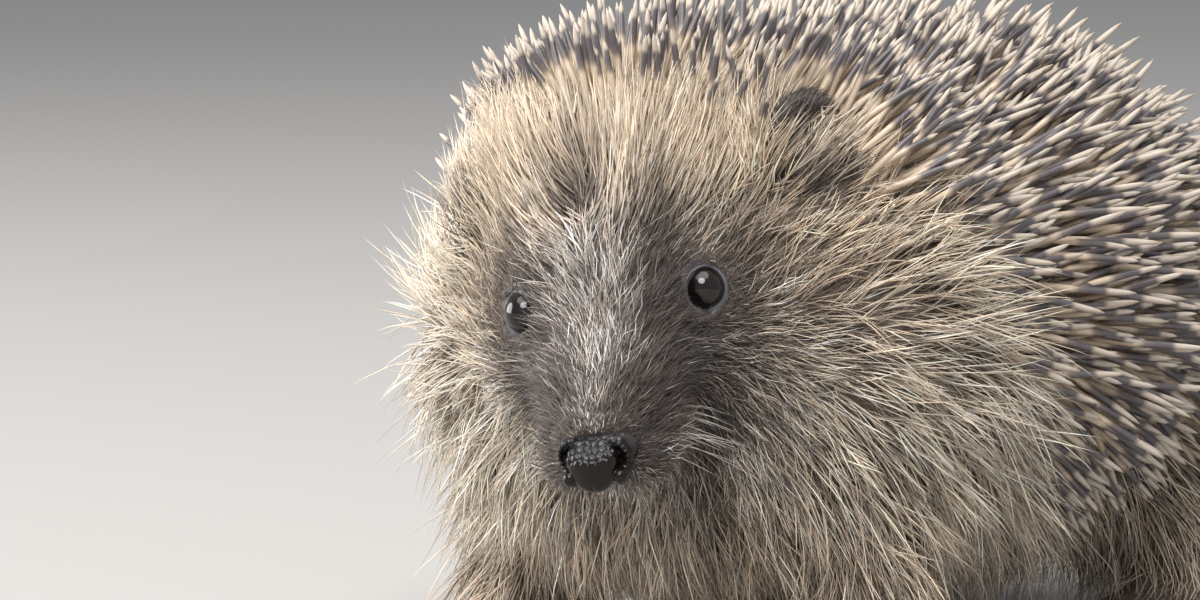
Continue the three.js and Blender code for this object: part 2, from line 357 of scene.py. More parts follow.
def storeColour(obj, shade):
    # one colour for each point, which the finishes read
    layer = obj.data.attributes.new("coatColour", "FLOAT_COLOR", "POINT")
    opaque = np.concatenate([shade, np.ones((len(shade), 1))], 1)
    layer.data.foreach_set("color", opaque.astype(np.float32).ravel())


def join(parts):
    points = np.concatenate([p for p, f in parts])
    starts = np.cumsum([0] + [len(p) for p, f in parts[:-1]])
    return points, np.concatenate([f + s for (p, f), s in zip(parts, starts)])


def makeSkin():
    fine, coarse = skin["headStep"] * 1, skin["bodyStep"]
    xs = steps((-60, -34, coarse), (-34, 48, fine), (48, 60, coarse))
    ys = steps((-126, -58, fine), (-58, -40, 1.4), (-40, 102, coarse))
    zs = steps((4, 18, coarse), (18, 96, fine), (96, 100, coarse))
    points, quads = skinOver(skinShape, xs, ys, zs, 8)
    points = settle(skinShape, points)
    parts = [(points, quads)]
    for name in footPlans:
        for side in (1, -1):
            plan, turn, place = footFrame(name, side)
            reach = plan["reach"] + 5
            spots = steps((-11, 11, 0.55))
            shape = lambda p: footShape(p, plan)
            q, f = skinOver(shape, spots, steps((-reach, 17, 0.6)), steps((-0.6, 20, 0.6)), 6)
            q = settle(shape, q, 1)
            q[:, 2] = np.maximum(q[:, 2], 0.0)
            parts.append((q @ turn.T + place, f))
    return join(parts)


skinPoints, skinQuads = makeSkin()
print("skin:", len(skinPoints), "points", len(skinQuads), "faces")
body = meshFrom("skin", skinPoints, skinQuads)


# Markings: one set of rules for skin, hair and spines
def rise(value, low, high):
    t = np.clip((value - low) / (high - low), 0, 1)
    return t * t * (3 - 2 * t)


def near(value, middle, wide):
    return np.exp(-(((value - middle) / wide) ** 2))


def mix(a, b, share):
    return a + (b - a) * share[..., None]


coatColours = dict(
    cream=(0.70, 0.577, 0.44), pale=(0.80, 0.71, 0.60), fawn=(0.46, 0.34, 0.24),
    mask=(0.046, 0.036, 0.031), grey=(0.24, 0.205, 0.185), white=(0.72, 0.67, 0.62),
    root=(0.062, 0.049, 0.042), under=(0.19, 0.15, 0.118),
    ear=(0.05, 0.039, 0.037), foot=(0.15, 0.11, 0.095),
)
tone = {name: np.array(value) for name, value in coatColours.items()}
noseTip = np.array([0.0, -33.0, -9.0])  # in the head's frame
spineEdge = dict(heights=(26, 28, 32, 40, 50, 60, 74, 82, 90),
                 front=(60, -5, -20, -33, -40, -47, -60, -75, -80))


def spineZone(p):
    # how far a place is inside the spiny mantle, in millimetres
    front = np.interp(p[:, 2], spineEdge["heights"], spineEdge["front"])
    sunk = 27.5 + 3 * np.sin(p[:, 1] * 0.07)
    front = front - 2.6 * rise(p[:, 2], 70, 76) * rise(-p[:, 0], -22, -12)
    return np.minimum((p[:, 1] - front) * 0.7, p[:, 2] - sunk)


def maskShare(h):
    # the dark bands from the sides of the nose to round the eyes
    x, y, z = np.abs(h[:, 0]), h[:, 1], h[:, 2]
    line = np.interp(y, (-30, -20, -10, -3, 0, 8), (3.8, 6.4, 8.2, 9.6, 12.4, 17.0))
    level = np.interp(y, (-30, -20, -10, 0, 8), (-7.5, -6.8, -5.4, -2.0, 0.0))
    off = np.sqrt(((x - line) / 4.6) ** 2 + ((z - level) / 5.4) ** 2)
    band = np.exp(-off ** 2) * rise(y, -33, -28) * (1 - rise(y, 3, 14))
    ring = np.exp(-((np.sqrt((x - skin["eyeAcross"]) ** 2 + y ** 2 + z ** 2) / 5.6) ** 2))
    inner = near(h[:, 0], 7.2, 2.3) + near(h[:, 0], -11.0, 2.2)
    inner = inner * rise(y, -19, -14) * (1 - rise(y, 0, 7))
    return np.clip(band * 1.15 + ring * 0.9 + inner * 0.85, 0, 1)


def fromEyes(h):
    # distance to the middle of the nearer eye
    return np.linalg.norm(mirrored(h) - (skin["eyeAcross"], 0, 0), axis=1)


def browLine(h):
    # how far up the brow a place is, the sides counting as higher
    return h[:, 2] + 0.4 * np.maximum(np.abs(h[:, 0]) - 10, 0)


partingAt = -2.4  # a little right of the middle of the head


def crownShare(h):
    # the parting on the crown, where the hair is short and dark
    return near(h[:, 0], partingAt, 2.3) * near(h[:, 2], 11.3, 3.3) * rise(h[:, 1], -1, 3)


def shortShare(h):
    # how much shorter the hair is kept: on the parting, the right cheek, round the eyes and along the mouth
    parting = 0.72 * near(h[:, 0], partingAt, 2.6) * near(h[:, 2], 10.0, 4.0) * rise(h[:, 1], -4, 2)
    eyes = 0.68 * (1 - rise(fromEyes(h), 3.6, 9.5)) * (1 - 0.55 * rise(h[:, 1], 1, 5))
    farCheek = 0.38 * rise(-h[:, 0], 12, 21) * rise(h[:, 2], -18, -8)
    return np.clip(parting + eyes + farCheek + 0.6 * mouthShare(h), 0, 0.85)


def mouthShare(h):
    # the line of the mouth, from under the nose back to below the eyes
    line = np.interp(h[:, 1], (-26, -16, -4), (-15.6, -15.4, -14.2))
    return near(h[:, 2], line, 1.15) * (1 - rise(h[:, 1], -7, -3)) * rise(np.abs(h[:, 0]), 1.5, 3)


def besideEar(h):
    # the left ear shows; the right one is grown over
    return 1 - rise(np.linalg.norm((h - np.array(earLeft["middle"])) * (1, 0.8, 0.8), axis=1), 7.5, 15)


def earGap(h):
    return np.minimum(earShape(h, earLeft), earShape(h, earRight))


def coatColour(p):
    # root and tip colours of the hair that grows at p, and how much of it is dark throughout
    h = toHead(p)
    x, y, z = np.abs(h[:, 0]), h[:, 1], h[:, 2]
    far = np.linalg.norm(h - noseTip, axis=1)
    face = 1 - rise(far, 32, 46)
    tip = np.tile(tone["cream"], (len(p), 1))
    dark = np.full(len(p), 0.12)
    low = rise(-z, 4, 22)
    tip = mix(tip, tone["pale"], 0.6 * low)
    bridge = near(x, 0, 4.6) * face
    tip = mix(tip, tone["grey"] * 1.45, 0.82 * face)
    tip = mix(tip, tone["white"], 0.55 * bridge * near(y, -22, 8))
    tip = mix(tip, tone["grey"] * 0.9, 0.5 * near(y, -13.5, 3.5) * face)
    tip = mix(tip, tone["grey"] * 1.5, 0.45 * near(y, -28, 5) * face)
    dark = dark + face * (0.46 - 0.16 * bridge)
    tip = mix(tip, tone["fawn"] * 1.3, 0.5 * near(z, 9, 5) * near(y, 4, 8) * near(x, 6, 6) * face)
    light = near(h[:, 0], -1.0, 6.5) * near(y, -5, 5)
    tip = mix(tip, tone["white"] * 0.9, 0.62 * light)
    dark = dark * (1 - 0.5 * light)
    brow = rise(z, 7, 11) * rise(y, -2, 4)
    tip = mix(tip, tone["cream"] * 0.76, 0.75 * brow)
    dark = dark * (1 - 0.5 * brow)
    # painted light: the animal's right side, lit from behind, gets paler tips and fewer dark hairs
    paintedBacklitSide = rise(-h[:, 0], 15, 24) * (1 - rise(y, 22, 34))
    tip = mix(tip, tone["pale"], 0.55 * paintedBacklitSide)
    dark = dark * (1 - 0.6 * paintedBacklitSide)
    mask = maskShare(h)
    tip = mix(tip, tone["grey"] * 0.62, 0.92 * mask)
    dark = np.clip(dark + 0.5 * mask, 0, 0.9)
    frost = near(x, 13.5, 3.2) * near(z, -7, 2.6) * near(y, -7, 5)  # pale hairs under the eyes
    tip = mix(tip, tone["white"], 0.6 * frost)
    dark = dark * (1 - 0.3 * frost)
    cheek = near(z, -6, 7) * near(y, 7, 9) * rise(x, 12, 17)
    tip = mix(tip, tone["fawn"], 0.35 * cheek)
    dark = np.clip(dark + 0.2 * cheek, 0, 0.85)
    crown = crownShare(h)
    tip = mix(tip, tone["mask"] * 2.2, 0.95 * crown)
    # darker along the mouth line: partly the dark lips, partly painted shade in the crease of the mouth
    dark = np.clip(dark + 0.5 * crown + 0.6 * mouthShare(h), 0, 0.92)
    below = rise(-z, 13, 20) * rise(-y, 0, 8)
    tip = mix(tip, tone["grey"] * 1.6, 0.7 * below)
    ear = (1 - rise(earGap(h), 0.3, 1.2)) * rise(y, 10, 14)
    tip = mix(tip, tone["ear"] * 1.7, 0.95 * ear)
    tip = mix(tip, tone["fawn"] * 0.92, 0.42 * (1 - rise(p[:, 2], 24, 44)))
    feet = 1 - rise(p[:, 2], 11, 22)
    tip = mix(tip, tone["fawn"] * 0.8, 0.8 * feet)
    root = mix(np.tile(tone["root"], (len(p), 1)), tone["under"], rise(far, 34, 50) * (1 - crown))
    root = mix(root, tone["ear"], ear)
    root = mix(root, tone["foot"], feet)
    return root, tip, dark


chance = np.random.default_rng(41)
corners = skinPoints[skinQuads]
faceNormal = np.cross(corners[:, 2] - corners[:, 0], corners[:, 3] - corners[:, 1])
faceArea = np.linalg.norm(faceNormal, axis=1) / 2
faceNormal /= np.maximum(np.linalg.norm(faceNormal, axis=1), 1e-9)[:, None]
faceMiddle = corners.mean(1)


def scatter(weight, count):
    # places on the skin, more of them where weight is larger
    share = faceArea * weight
    picked = chance.choice(len(share), count, p=share / share.sum())
    u, v = chance.random((2, count, 1))
    c = corners[picked]
    return (c[:, 0] * (1 - u) + c[:, 1] * u) * (1 - v) + (c[:, 3] * (1 - u) + c[:, 2] * u) * v


def unit(v):
    return v / np.maximum(np.linalg.norm(v, axis=-1, keepdims=True), 1e-9)


noseInBody = fromHead(noseTip)
browInBody = fromHead(np.array([1.0, -7.0, -1.0]))
eyesInBody = [fromHead(np.array([side * skin["eyeAcross"], 0, 0])) for side in (1, -1)]


def lieOfCoat(p, n):
    # hair lies away from the nose, further back away from the brow, hanging on the flanks and down the legs
    far = np.linalg.norm(p - noseInBody, axis=1)
    away = mix(unit(p - noseInBody), unit(p - browInBody), rise(far, 14, 42))
    low = 1 - rise(p[:, 2], 24, 60)
    behind = rise(p[:, 1], -84, -45)
    way = away + np.array([0, 0, -1.0]) * (0.5 * low * rise(far, 25, 50) + 0.7 * low * behind)[:, None]
    way += np.array([0, 0.7, 0]) * behind[:, None]
    outside = rise(np.abs(toHead(p)[:, 0]), 12, 19) * (1 - rise(p[:, 1], -66, -48))
    way += headTurn[:, 2] * (0.42 * outside * rise(p[:, 2], 50, 64))[:, None]  # streaming up past the eyes
    leg = 1 - rise(p[:, 2], 10, 20)
    way = mix(way, np.array([0, 0.25, -1.0]), leg * behind)
    way = mix(way, np.array([0, -1.0, -0.4]), (1 - rise(p[:, 2], 5, 9)) * rise(p[:, 1], -80, -70))
    way += np.array([0, 0, -1.3]) * rise(p[:, 1], 30, 78)[:, None]  # down over the rump
    h = toHead(p)
    farCheek = rise(-h[:, 0], 9, 18) * rise(h[:, 2], -20, -6) * (1 - rise(p[:, 1], -66, -48))
    way += headTurn[:, 2] * (0.75 * farCheek)[:, None]  # and more so on the right cheek
    aside = np.clip((h[:, 0] - partingAt) / 2.2, -1, 1) * near(h[:, 0], partingAt, 4.5)
    aside = aside * near(h[:, 2], 11.5, 5.0)
    way += headTurn[:, 0] * (1.1 * aside * rise(h[:, 1], -4, 2))[:, None]  # parted on the crown
    for eye in eyesInBody:
        gap = np.linalg.norm(p - eye, axis=1)
        way += unit(p - eye) * (1.7 * np.exp(-((gap - 3.1) / 1.6) ** 2))[:, None]
    way -= (way * n).sum(-1, keepdims=True) * n
    return unit(way)


laidFlat = dict(axisHigh=50, nose=-125, length=235, patch=(0.0006, 0.003), apart=0.0024)


def unwrap(p):
    # the skin laid flat: round the body, and along it from nose to tail
    around = np.arctan2(p[:, 0], p[:, 2] - laidFlat["axisHigh"]) / (2 * math.pi) + 0.5
    return np.stack([around, (p[:, 1] - laidFlat["nose"]) / laidFlat["length"]], -1)


def strandMesh(name, paths, widths, colours, patches, sides=3):
    # paths: hairs x points x 3, the last point the tip; one joined mesh with colours and an OFBake map
    hairs, count = paths.shape[:2]
    along = unit(np.gradient(paths, axis=1))
    side = unit(np.cross(along, chance.normal(size=(hairs, 1, 3))))
    other = np.cross(along, side)
    rings = count - 1
    angles = np.arange(sides) * 2 * math.pi / sides
    ring = side[:, :rings, None] * np.cos(angles)[None, None, :, None]
    ring = ring + other[:, :rings, None] * np.sin(angles)[None, None, :, None]
    ring = paths[:, :rings, None] + ring * (widths[:, :rings, None, None] / 2)
    points = np.concatenate([ring.reshape(hairs, -1, 3), paths[:, -1:]], 1)
    perHair = rings * sides + 1
    faces = []
    for k in range(rings - 1):
        for j in range(sides):
            a, b = k * sides + j, k * sides + (j + 1) % sides
            faces += [(a, b, b + sides), (a, b + sides, a + sides)]
    for j in range(sides):
        faces.append(((rings - 1) * sides + j, (rings - 1) * sides + (j + 1) % sides, rings * sides))
    faces = (np.array(faces)[None] + (np.arange(hairs) * perHair)[:, None, None]).reshape(-1, 3)
    obj = meshFrom(name, points.reshape(-1, 3), faces)
    shade = np.concatenate([np.repeat(colours[:, :rings], sides, 1), colours[:, -1:]], 1).reshape(-1, 3)
    storeColour(obj, shade)
    place = np.concatenate([np.repeat(patches[:, :rings], sides, 1), patches[:, -1:]], 1).reshape(-1, 2)
    uv = obj.data.uv_layers.new(name="OFBake")
    uv.data.foreach_set("uv", place[faces.ravel()].astype(np.float32).ravel())
    return obj


openEye = dict(clear=3.4, laidAt=(3.15, 0.45), reach=9)  # round the line of its gaze


def clearOfEyes(p):
    # hair that would cross an open eye is laid beside it
    clear, (least, more) = openEye["clear"], openEye["laidAt"]
    for side, eye in zip((1, -1), eyesInBody):
        gaze = headTurn @ (gazeLeft * (side, 1, 1))
        off = p - eye
        ahead = (off @ gaze)[..., None] * gaze
        aside = off - ahead
        gap = np.linalg.norm(aside, axis=-1, keepdims=True)
        wide = least + more * np.clip(gap / clear, 0, 1)
        moved = eye + ahead + aside / np.maximum(gap, 1e-6) * wide
        close = np.linalg.norm(off, axis=-1, keepdims=True) < openEye["reach"]
        inside = (gap < clear) & close & ((off @ gaze)[..., None] > 0)
        p = np.where(inside, moved, p)
    return p


def growTufts(roots, length, lift, spread, width, perTuft, points, bend=0.35, hang=0.0, wander=0.12,
              gather=0.55, wave=0.0, stray=0.09, blunt=0.1):
    # leaders follow the skin; the hairs of a tuft start apart and gather towards their leader's tip
    n = unit(slopeOf(skinShape, roots))
    tufts = len(roots)
    turned = chance.normal(0, wander, (tufts, 3))
    place, path = roots - n * 0.25, [roots - n * 0.25]
    for k in range(points - 1):
        share = k / max(points - 2, 1)
        normal = n if k == 0 else unit(slopeOf(skinShape, place))
        flow = unit(lieOfCoat(place, normal) + turned + chance.normal(0, 1, (tufts, 3)) * wave)
        raised = lift * (1 - bend * share)
        way = flow * np.cos(raised)[:, None] + normal * np.sin(raised)[:, None]
        way = unit(way + np.array([0, 0, -1.0]) * (hang * share))
        place = place + way * (length / (points - 1))[:, None]
        path.append(place)
    path = np.stack(path, 1)
    hairs = tufts * perTuft
    lead = np.repeat(path, perTuft, 0)
    normal = np.repeat(n, perTuft, 0)
    off = chance.normal(0, 1, (hairs, 3)) * np.repeat(spread, perTuft)[:, None]
    off -= (off * normal).sum(-1, keepdims=True) * normal
    share = np.linspace(0, 1, points)
    apart = off[:, None] * (1 - gather * share ** 1.2)[None, :, None]
    aside = chance.normal(0, 1, (hairs, 3)) * (np.repeat(length, perTuft) * stray)[:, None]
    shorter = 1 - chance.random(hairs) * 0.35
    grown = lead[:, :1] + (lead - lead[:, :1]) * shorter[:, None, None]
    grown = grown + apart + aside[:, None] * (share ** 1.6)[None, :, None]
    if wave:
        kink = (np.repeat(length, perTuft) * wave * 0.12)[:, None, None]
        grown[:, 1:] += (chance.normal(0, 1, (hairs, points, 3)) * kink)[:, 1:]
    grown[:, 1:] = clearOfEyes(grown[:, 1:])
    lowest = grown[:, :, 2].min(1)
    rootHigh = grown[:, 0, 2]
    # what would reach the ground is kept shorter
    floorGap = 0.6
    kept = (rootHigh - floorGap) / np.maximum(rootHigh - lowest, 0.1)
    kept = np.where(lowest < floorGap, kept, 1.0)
    grown = grown[:, :1] + (grown - grown[:, :1]) * np.clip(kept, 0.05, 1)[:, None, None]
    base = np.repeat(width, perTuft) * (0.75 + 0.5 * chance.random(hairs))
    taper = np.interp(share, (0, 0.45, 1), (0.9, 1.0, blunt))
    widths = base[:, None] * taper[None]
    return grown, widths, np.repeat(np.arange(tufts), perTuft), share


def hairColours(roots, owner, share, hairs, contrast, darker, rooted):
    root, tip, dark = coatColour(roots)
    tuftTone = np.exp(chance.normal(0, contrast * 0.6, (len(roots), 1)))
    root, tip, dark = root[owner], (tip * tuftTone)[owner], dark[owner]
    lightness = np.exp(chance.normal(0, contrast, (hairs, 1)))
    warm = 1 + chance.normal(0, 0.04, (hairs, 1)) * np.array([[1, 0, -1.0]])
    darkOne = chance.random(hairs) < np.clip(dark + darker, 0, 1)
    tip = np.where(darkOne[:, None], root * 1.15 + tip * 0.04, tip * lightness * warm)
    fade = rise(share, rooted, rooted + 0.4)
    colour = root[:, None] + (tip - root)[:, None] * fade[None, :, None]
    return np.clip(colour, 0.01, 0.88)


def tuftPatches(roots, owner, share, hairs):
    # each tuft has a small patch of the map, at its root's place
    start = unwrap(roots)[owner] + chance.random((hairs, 1)) * np.array([[laidFlat["apart"], 0]])
    return start[:, None] + share[None, :, None] * np.array(laidFlat["patch"])


# Each kind of hair. A pair of rows runs over the distance from the nose, or over what "over" names
coat = dict(
    snoutHair=dict(tufts=4400, perTuft=3, points=3, length=((4, 6, 12, 24), (1.1, 2.2, 4.6, 6.0)), lift=38,
                   spread=0.35, width=((5, 24), (0.11, 0.13)), contrast=0.6, wave=0.15, stray=0.2,
                   rooted=0.0),
    faceUnderHair=dict(tufts=3000, perTuft=3, points=3, length=((16, 30, 50), (3.0, 4.2, 6.0)), lift=20,
                       spread=0.7, width=0.19, darker=0.6),
    faceHair=dict(tufts=4100, perTuft=3, points=4, length=((15, 30, 45), (4.6, 6.0, 8.0)), lift=30,
                  spread=0.55, width=((15, 30, 50), (0.11, 0.12, 0.16)), contrast=0.5, wave=0.16,
                  stray=0.18, darker=-0.12, rooted=0.0, earClear=0.2),
    browHair=dict(tufts=1950, perTuft=3, points=5, over="brow", length=((8, 11, 15, 22), (9, 14, 17, 13)),
                  lift=33, spread=0.8, width=0.33, darker=-0.08, rooted=0.1, wander=0.12, bend=0.15,
                  gather=0.45, stray=0.05, blunt=0.16, earClear=0.12),
    ruffUnderHair=dict(tufts=2500, perTuft=3, points=4, length=((32, 55, 75, 95), (4, 9, 13, 15)), lift=20,
                       spread=1.5, width=0.26, hang=0.12, darker=0.3, earClear=0.5),
    ruffHair=dict(tufts=2350, perTuft=4, points=5, length=((32, 42, 55, 75, 95), (6, 10, 15, 20, 23)),
                  lift=33, spread=1.0, width=((32, 70), (0.19, 0.27)), hang=0.12, darker=-0.1, rooted=0.12,
                  wander=0.27, gather=0.88, earClear=0.65),
    chestHair=dict(tufts=1500, perTuft=4, points=5, length=20, lift=24, spread=1.2, width=0.24, hang=0.5,
                   contrast=0.25, rooted=0.16, wander=0.2, gather=0.75),
    flankHair=dict(tufts=1700, perTuft=4, points=5, length=24, lift=20, spread=1.4, width=0.28, hang=0.6,
                   contrast=0.25, darker=0.1, rooted=0.16, wander=0.2, gather=0.7),
    bellyHair=dict(tufts=700, perTuft=3, points=3, length=8, lift=18, spread=1.4, width=0.24, darker=0.1),
    legHair=dict(tufts=1700, perTuft=3, points=3, over="height",
                 length=((2, 7, 14, 22), (1.2, 1.8, 3.2, 7)), lift=14, spread=0.7, width=0.2, darker=0.1),
    footHair=dict(tufts=900, perTuft=3, points=3, over="height", length=((2, 5, 10), (0.9, 1.7, 3.0)),
                  lift=12, spread=0.6, width=0.13, contrast=0.4),
    tailHair=dict(tufts=420, perTuft=3, points=3, length=3.2, lift=14, spread=0.5, width=0.18, darker=0.2),
    earHair=dict(tufts=1000, perTuft=3, points=3, length=2.4, lift=22, spread=0.4, width=0.12, darker=0.1),
    earBackHair=dict(tufts=300, perTuft=3, points=3, length=7.0, lift=24, spread=0.8, width=0.22,
                     darker=0.1),
)


def growHair(name, weight, tufts, perTuft, points, length, lift, spread, width, over="nose",
             contrast=0.2, darker=0.0, rooted=0.08, earClear=0.0, **shape):
    # lift is in degrees from the skin
    roots = scatter(weight, tufts)
    h = toHead(roots)
    measure = dict(nose=np.linalg.norm(h - noseTip, axis=1), height=roots[:, 2], brow=browLine(h))[over]
    value = lambda rule: np.interp(measure, *rule) if isinstance(rule, tuple) else np.full(tufts, rule)
    jitter = (0.8 + 0.4 * chance.random(tufts)) * (1 - shortShare(h)) * (1 - earClear * besideEar(h))
    grown, widths, owner, share = growTufts(roots, value(length) * jitter, value(math.radians(lift)),
                                            value(spread), value(width), perTuft, points, **shape)
    colours = hairColours(roots, owner, share, len(grown), contrast, darker, rooted)
    obj = strandMesh(name, grown, widths, colours, tuftPatches(roots, owner, share, len(grown)))
    finishPiece(obj, hairMaterial, "fur")
    print(name, "hairs", len(grown), "triangles", len(obj.data.polygons))


def plainMaterial(name, colour, roughness):
    material = bpy.data.materials.new(name)
    material.use_nodes = True
    shader = material.node_tree.nodes["Principled BSDF"]
    shader.inputs["Base Color"].default_value = (*colour, 1)
    shader.inputs["Roughness"].default_value = roughness
    return material, material.node_tree, shader


def paintedMaterial(name, roughness):
    # takes its colour from the points
    material, tree, shader = plainMaterial(name, (0.1, 0.09, 0.09), roughness)
    shade = tree.nodes.new("ShaderNodeAttribute")
    shade.attribute_name = "coatColour"
    tree.links.new(shade.outputs["Color"], shader.inputs["Base Color"])
    return material, tree, shader


hairMaterial, _, hairShader = paintedMaterial("hair", 0.42)
hairShader.inputs["Specular IOR Level"].default_value = 0.4
skinHead = toHead(faceMiddle)
farFromNose = np.linalg.norm(skinHead - noseTip, axis=1)
inSpines = spineZone(faceMiddle)
openSkin = (fromEyes(skinHead) > 3.45) & (farFromNose > 4.4)
earSkin = (earGap(skinHead) < 0.5) & (skinHead[:, 1] > 12)
tailRoot = np.array([0.0, 76.0, 25.0])
onTail = (faceMiddle[:, 1] > 77) & (np.abs(faceMiddle[:, 0]) < 6.5) & (faceMiddle[:, 2] < 31)


def makeHair():
    side, up = np.abs(skinHead[:, 0]), skinHead[:, 2]  # in the head's frame
    across, along, high = np.abs(faceMiddle[:, 0]), faceMiddle[:, 1], faceMiddle[:, 2]  # in the body's
    ahead = (along < -50) & openSkin & ~earSkin
    # short on the muzzle, denser at the nose; then dark under hair, with finer pale hairs that wave
    snout = ahead * (1 - rise(farFromNose, 16, 24)) * (1 + 2 * (1 - rise(farFromNose, 5, 9)))
    under = ahead * rise(farFromNose, 16, 22) * (1 - rise(farFromNose, 44, 56))
    face = ahead * rise(farFromNose, 15, 22) * (1 - rise(farFromNose, 38, 48))
    # long stiff hairs of the brow, fanning up over the front spines
    brow = ahead * rise(up + 0.16 * np.maximum(side - 8, 0), 7.5, 11) * (1 - rise(side, 27, 33))
    brow = brow * (1 - rise(inSpines, 3, 9)) * (1 - 0.7 * rise(up, 12.5, 17) * (1 - rise(side, 15, 21)))
    ruff = openSkin & ~earSkin
    ruff = ruff * rise(farFromNose, 31, 44) * (1 - rise(inSpines, -1, 6)) * (1 - rise(along, -30, -10))
    ruff = ruff * rise(high, 13, 20) * (1 - rise(up, 7, 12) * (1 - rise(side, 18, 24)))
    chest = openSkin * rise(high, 12, 18) * (1 - rise(high, 30, 46)) * rise(farFromNose, 31, 44)
    chest = chest * (1 - rise(along, -38, -20)) * (1 - rise(inSpines, -1, 6))
    flank = (1 - rise(inSpines, -2, 5)) * rise(along, -48, -26) * rise(high, 12, 18)
    flank = flank * (across > 18) * ~onTail
    belly = (high < 24) & (high > 9.5) & (across < 26)
    legs = (high < 24) & (high > 2.5) & (across > 14)
    feet = (high < 11) & (high > 2.2) & (across > 14) & (faceNormal[:, 2] > -0.1)
    tail = (np.linalg.norm(faceMiddle - tailRoot, axis=1) > 4) & onTail
    gap = np.linalg.norm(mirrored(skinHead) - np.abs(np.array(earLeft["middle"])), axis=1)
    behindEar = (gap < 13) & ~earSkin & (inSpines > -2) & openSkin
    weights = (snout, under, face, brow, ruff, ruff, chest, flank, belly, legs, feet, tail, earSkin,
               behindEar)
    for name, weight in zip(coat, weights):
        growHair(name, weight * 1.0, **coat[name])


whiskers = dict(each=26, length=(5, 13), width=0.15)


def makeWhiskers():
    # stiff pale hairs on the upper lip, pointing out and down
    paths, shares = [], np.linspace(0, 1, 6)
    for side in (1, -1):
        for k in range(whiskers["each"]):
            y = -27 + 13 * chance.random()
            start = np.array([side * 7, y, -12.0 + 2.6 * (chance.random() - 0.5)])
            root = settle(headShape, start[None], 6)[0]
            out, back, down = [chance.random() for _ in range(3)]
            way = unit(np.array([side * (0.9 + 0.3 * out), 0.25 + 0.5 * back, -0.35 - 0.4 * down]))
            long = np.interp(k / whiskers["each"], (0, 1), whiskers["length"])
            long *= 0.8 + 0.4 * chance.random()
            droop = np.array([0, 0, -1.0]) * (0.22 * long) * shares[:, None] ** 2
            paths.append(fromHead(root + way * long * shares[:, None] + droop))
    paths = np.array(paths)
    widths = whiskers["width"] * np.interp(shares, (0, 1), (1, 0.15))[None] * np.ones((len(paths), 1))
    shade = mix(tone["grey"], tone["white"], np.linspace(0, 1, 6))[None] * np.ones((len(paths), 1, 1))
    roots = paths[:, 0]
    patches = tuftPatches(roots, np.arange(len(paths)), shares, len(paths))
    obj = strandMesh("whiskers", paths, widths, shade, patches)
    finishPiece(obj, hairMaterial, "fur")


makeHair()
makeWhiskers()


# Spines: one Geometry Nodes tree, on three beds of skin
spines = dict(
    length=21.5, thick=1.25, spacing=1.92, sides=5, points=7, bend=0.04, scatter=0.3, seed=7,
    crowding=1.6, varied=(0.82, 1.08), slimming=0.35, mostPerArea=3e6, roughness=0.38,
    sunk=0.8, cuts=(-8, 38), lowest=24, roundEars=9, roundTail=9, edge=14, atEdge=0.72,
    profile=((0, 0.55), (0.15, 0.85), (0.5, 1.0), (0.83, 0.86), (0.943, 0.6), (1, 0.1)),
    bands=((0.0, (0.5, 0.39, 0.28)), (0.5, (0.56, 0.45, 0.335)), (0.565, (0.17, 0.135, 0.12)),
           (0.65, (0.092, 0.082, 0.088)), (0.76, (0.10, 0.087, 0.09)), (0.805, (0.44, 0.37, 0.30)),
           (0.93, (0.50, 0.44, 0.375)), (1.0, (0.42, 0.35, 0.27))),
    bandShift=(-0.05, 0.06),
)


def node(tree, kind, given=None, **settings):
    # a new node; given sets each socket to a value or joins it to another node's output
    made = tree.nodes.new(kind)
    for name, value in settings.items():
        setattr(made, name, value)
    for socket, value in (given or {}).items():
        if isinstance(value, bpy.types.NodeSocket):
            tree.links.new(value, made.inputs[socket])
        else:
            made.inputs[socket].default_value = value
    return made


def calc(tree, operation, *values):
    return node(tree, "ShaderNodeMath", dict(enumerate(values)), operation=operation).outputs[0]


def stored(tree, name, kind="FLOAT"):
    return node(tree, "GeometryNodeInputNamedAttribute", {"Name": name}, data_type=kind).outputs[0]


def store(tree, geometry, name, value, kind="FLOAT", domain="INSTANCE"):
    made = node(tree, "GeometryNodeStoreNamedAttribute", data_type=kind, domain=domain)
    made.inputs["Name"].default_value = name
    tree.links.new(geometry, made.inputs["Geometry"])
    tree.links.new(value, made.inputs["Value"])
    return made.outputs["Geometry"]


def oneSpine(tree, given):
    # along Z, one unit long, its rings crowded to the tip
    line = node(tree, "GeometryNodeCurvePrimitiveLine", {"End": (0, 0, 1)})
    fine = node(tree, "GeometryNodeResampleCurve",
                {"Curve": line.outputs["Curve"], "Count": given["Rings"]})
    even = node(tree, "GeometryNodeSplineParameter").outputs["Factor"]
    rest = calc(tree, "POWER", calc(tree, "SUBTRACT", 1.0, even), spines["crowding"])
    up = calc(tree, "SUBTRACT", 1.0, rest)
    kept = store(tree, fine.outputs["Curve"], "along", up, domain="POINT")
    share = stored(tree, "along")
    lean = calc(tree, "MULTIPLY", calc(tree, "MULTIPLY", share, share), spines["bend"])
    shape = node(tree, "ShaderNodeCombineXYZ", {"X": lean, "Z": share}).outputs[0]
    bent = node(tree, "GeometryNodeSetPosition", {"Geometry": kept, "Position": shape})
    profile = node(tree, "ShaderNodeFloatCurve", {"Value": share})
    curve = profile.mapping.curves[0]
    for k, place in enumerate(spines["profile"]):
        if k < 2:
            curve.points[k].location = place
        else:
            curve.points.new(*place)
    profile.mapping.update()
    slim = calc(tree, "DIVIDE", given["Thickness"], given["Length"])
    half = calc(tree, "MULTIPLY", calc(tree, "MULTIPLY", slim, profile.outputs[0]), 0.5)
    circle = node(tree, "GeometryNodeCurvePrimitiveCircle",
                  {"Resolution": given["Sides"], "Radius": 1.0}, mode="RADIUS").outputs["Curve"]
    tube = node(tree, "GeometryNodeCurveToMesh",
                {"Curve": bent.outputs["Geometry"], "Profile Curve": circle, "Scale": half,
                 "Fill Caps": True})
    return node(tree, "GeometryNodeSetShadeSmooth", {"Geometry": tube.outputs["Mesh"]}).outputs["Geometry"]


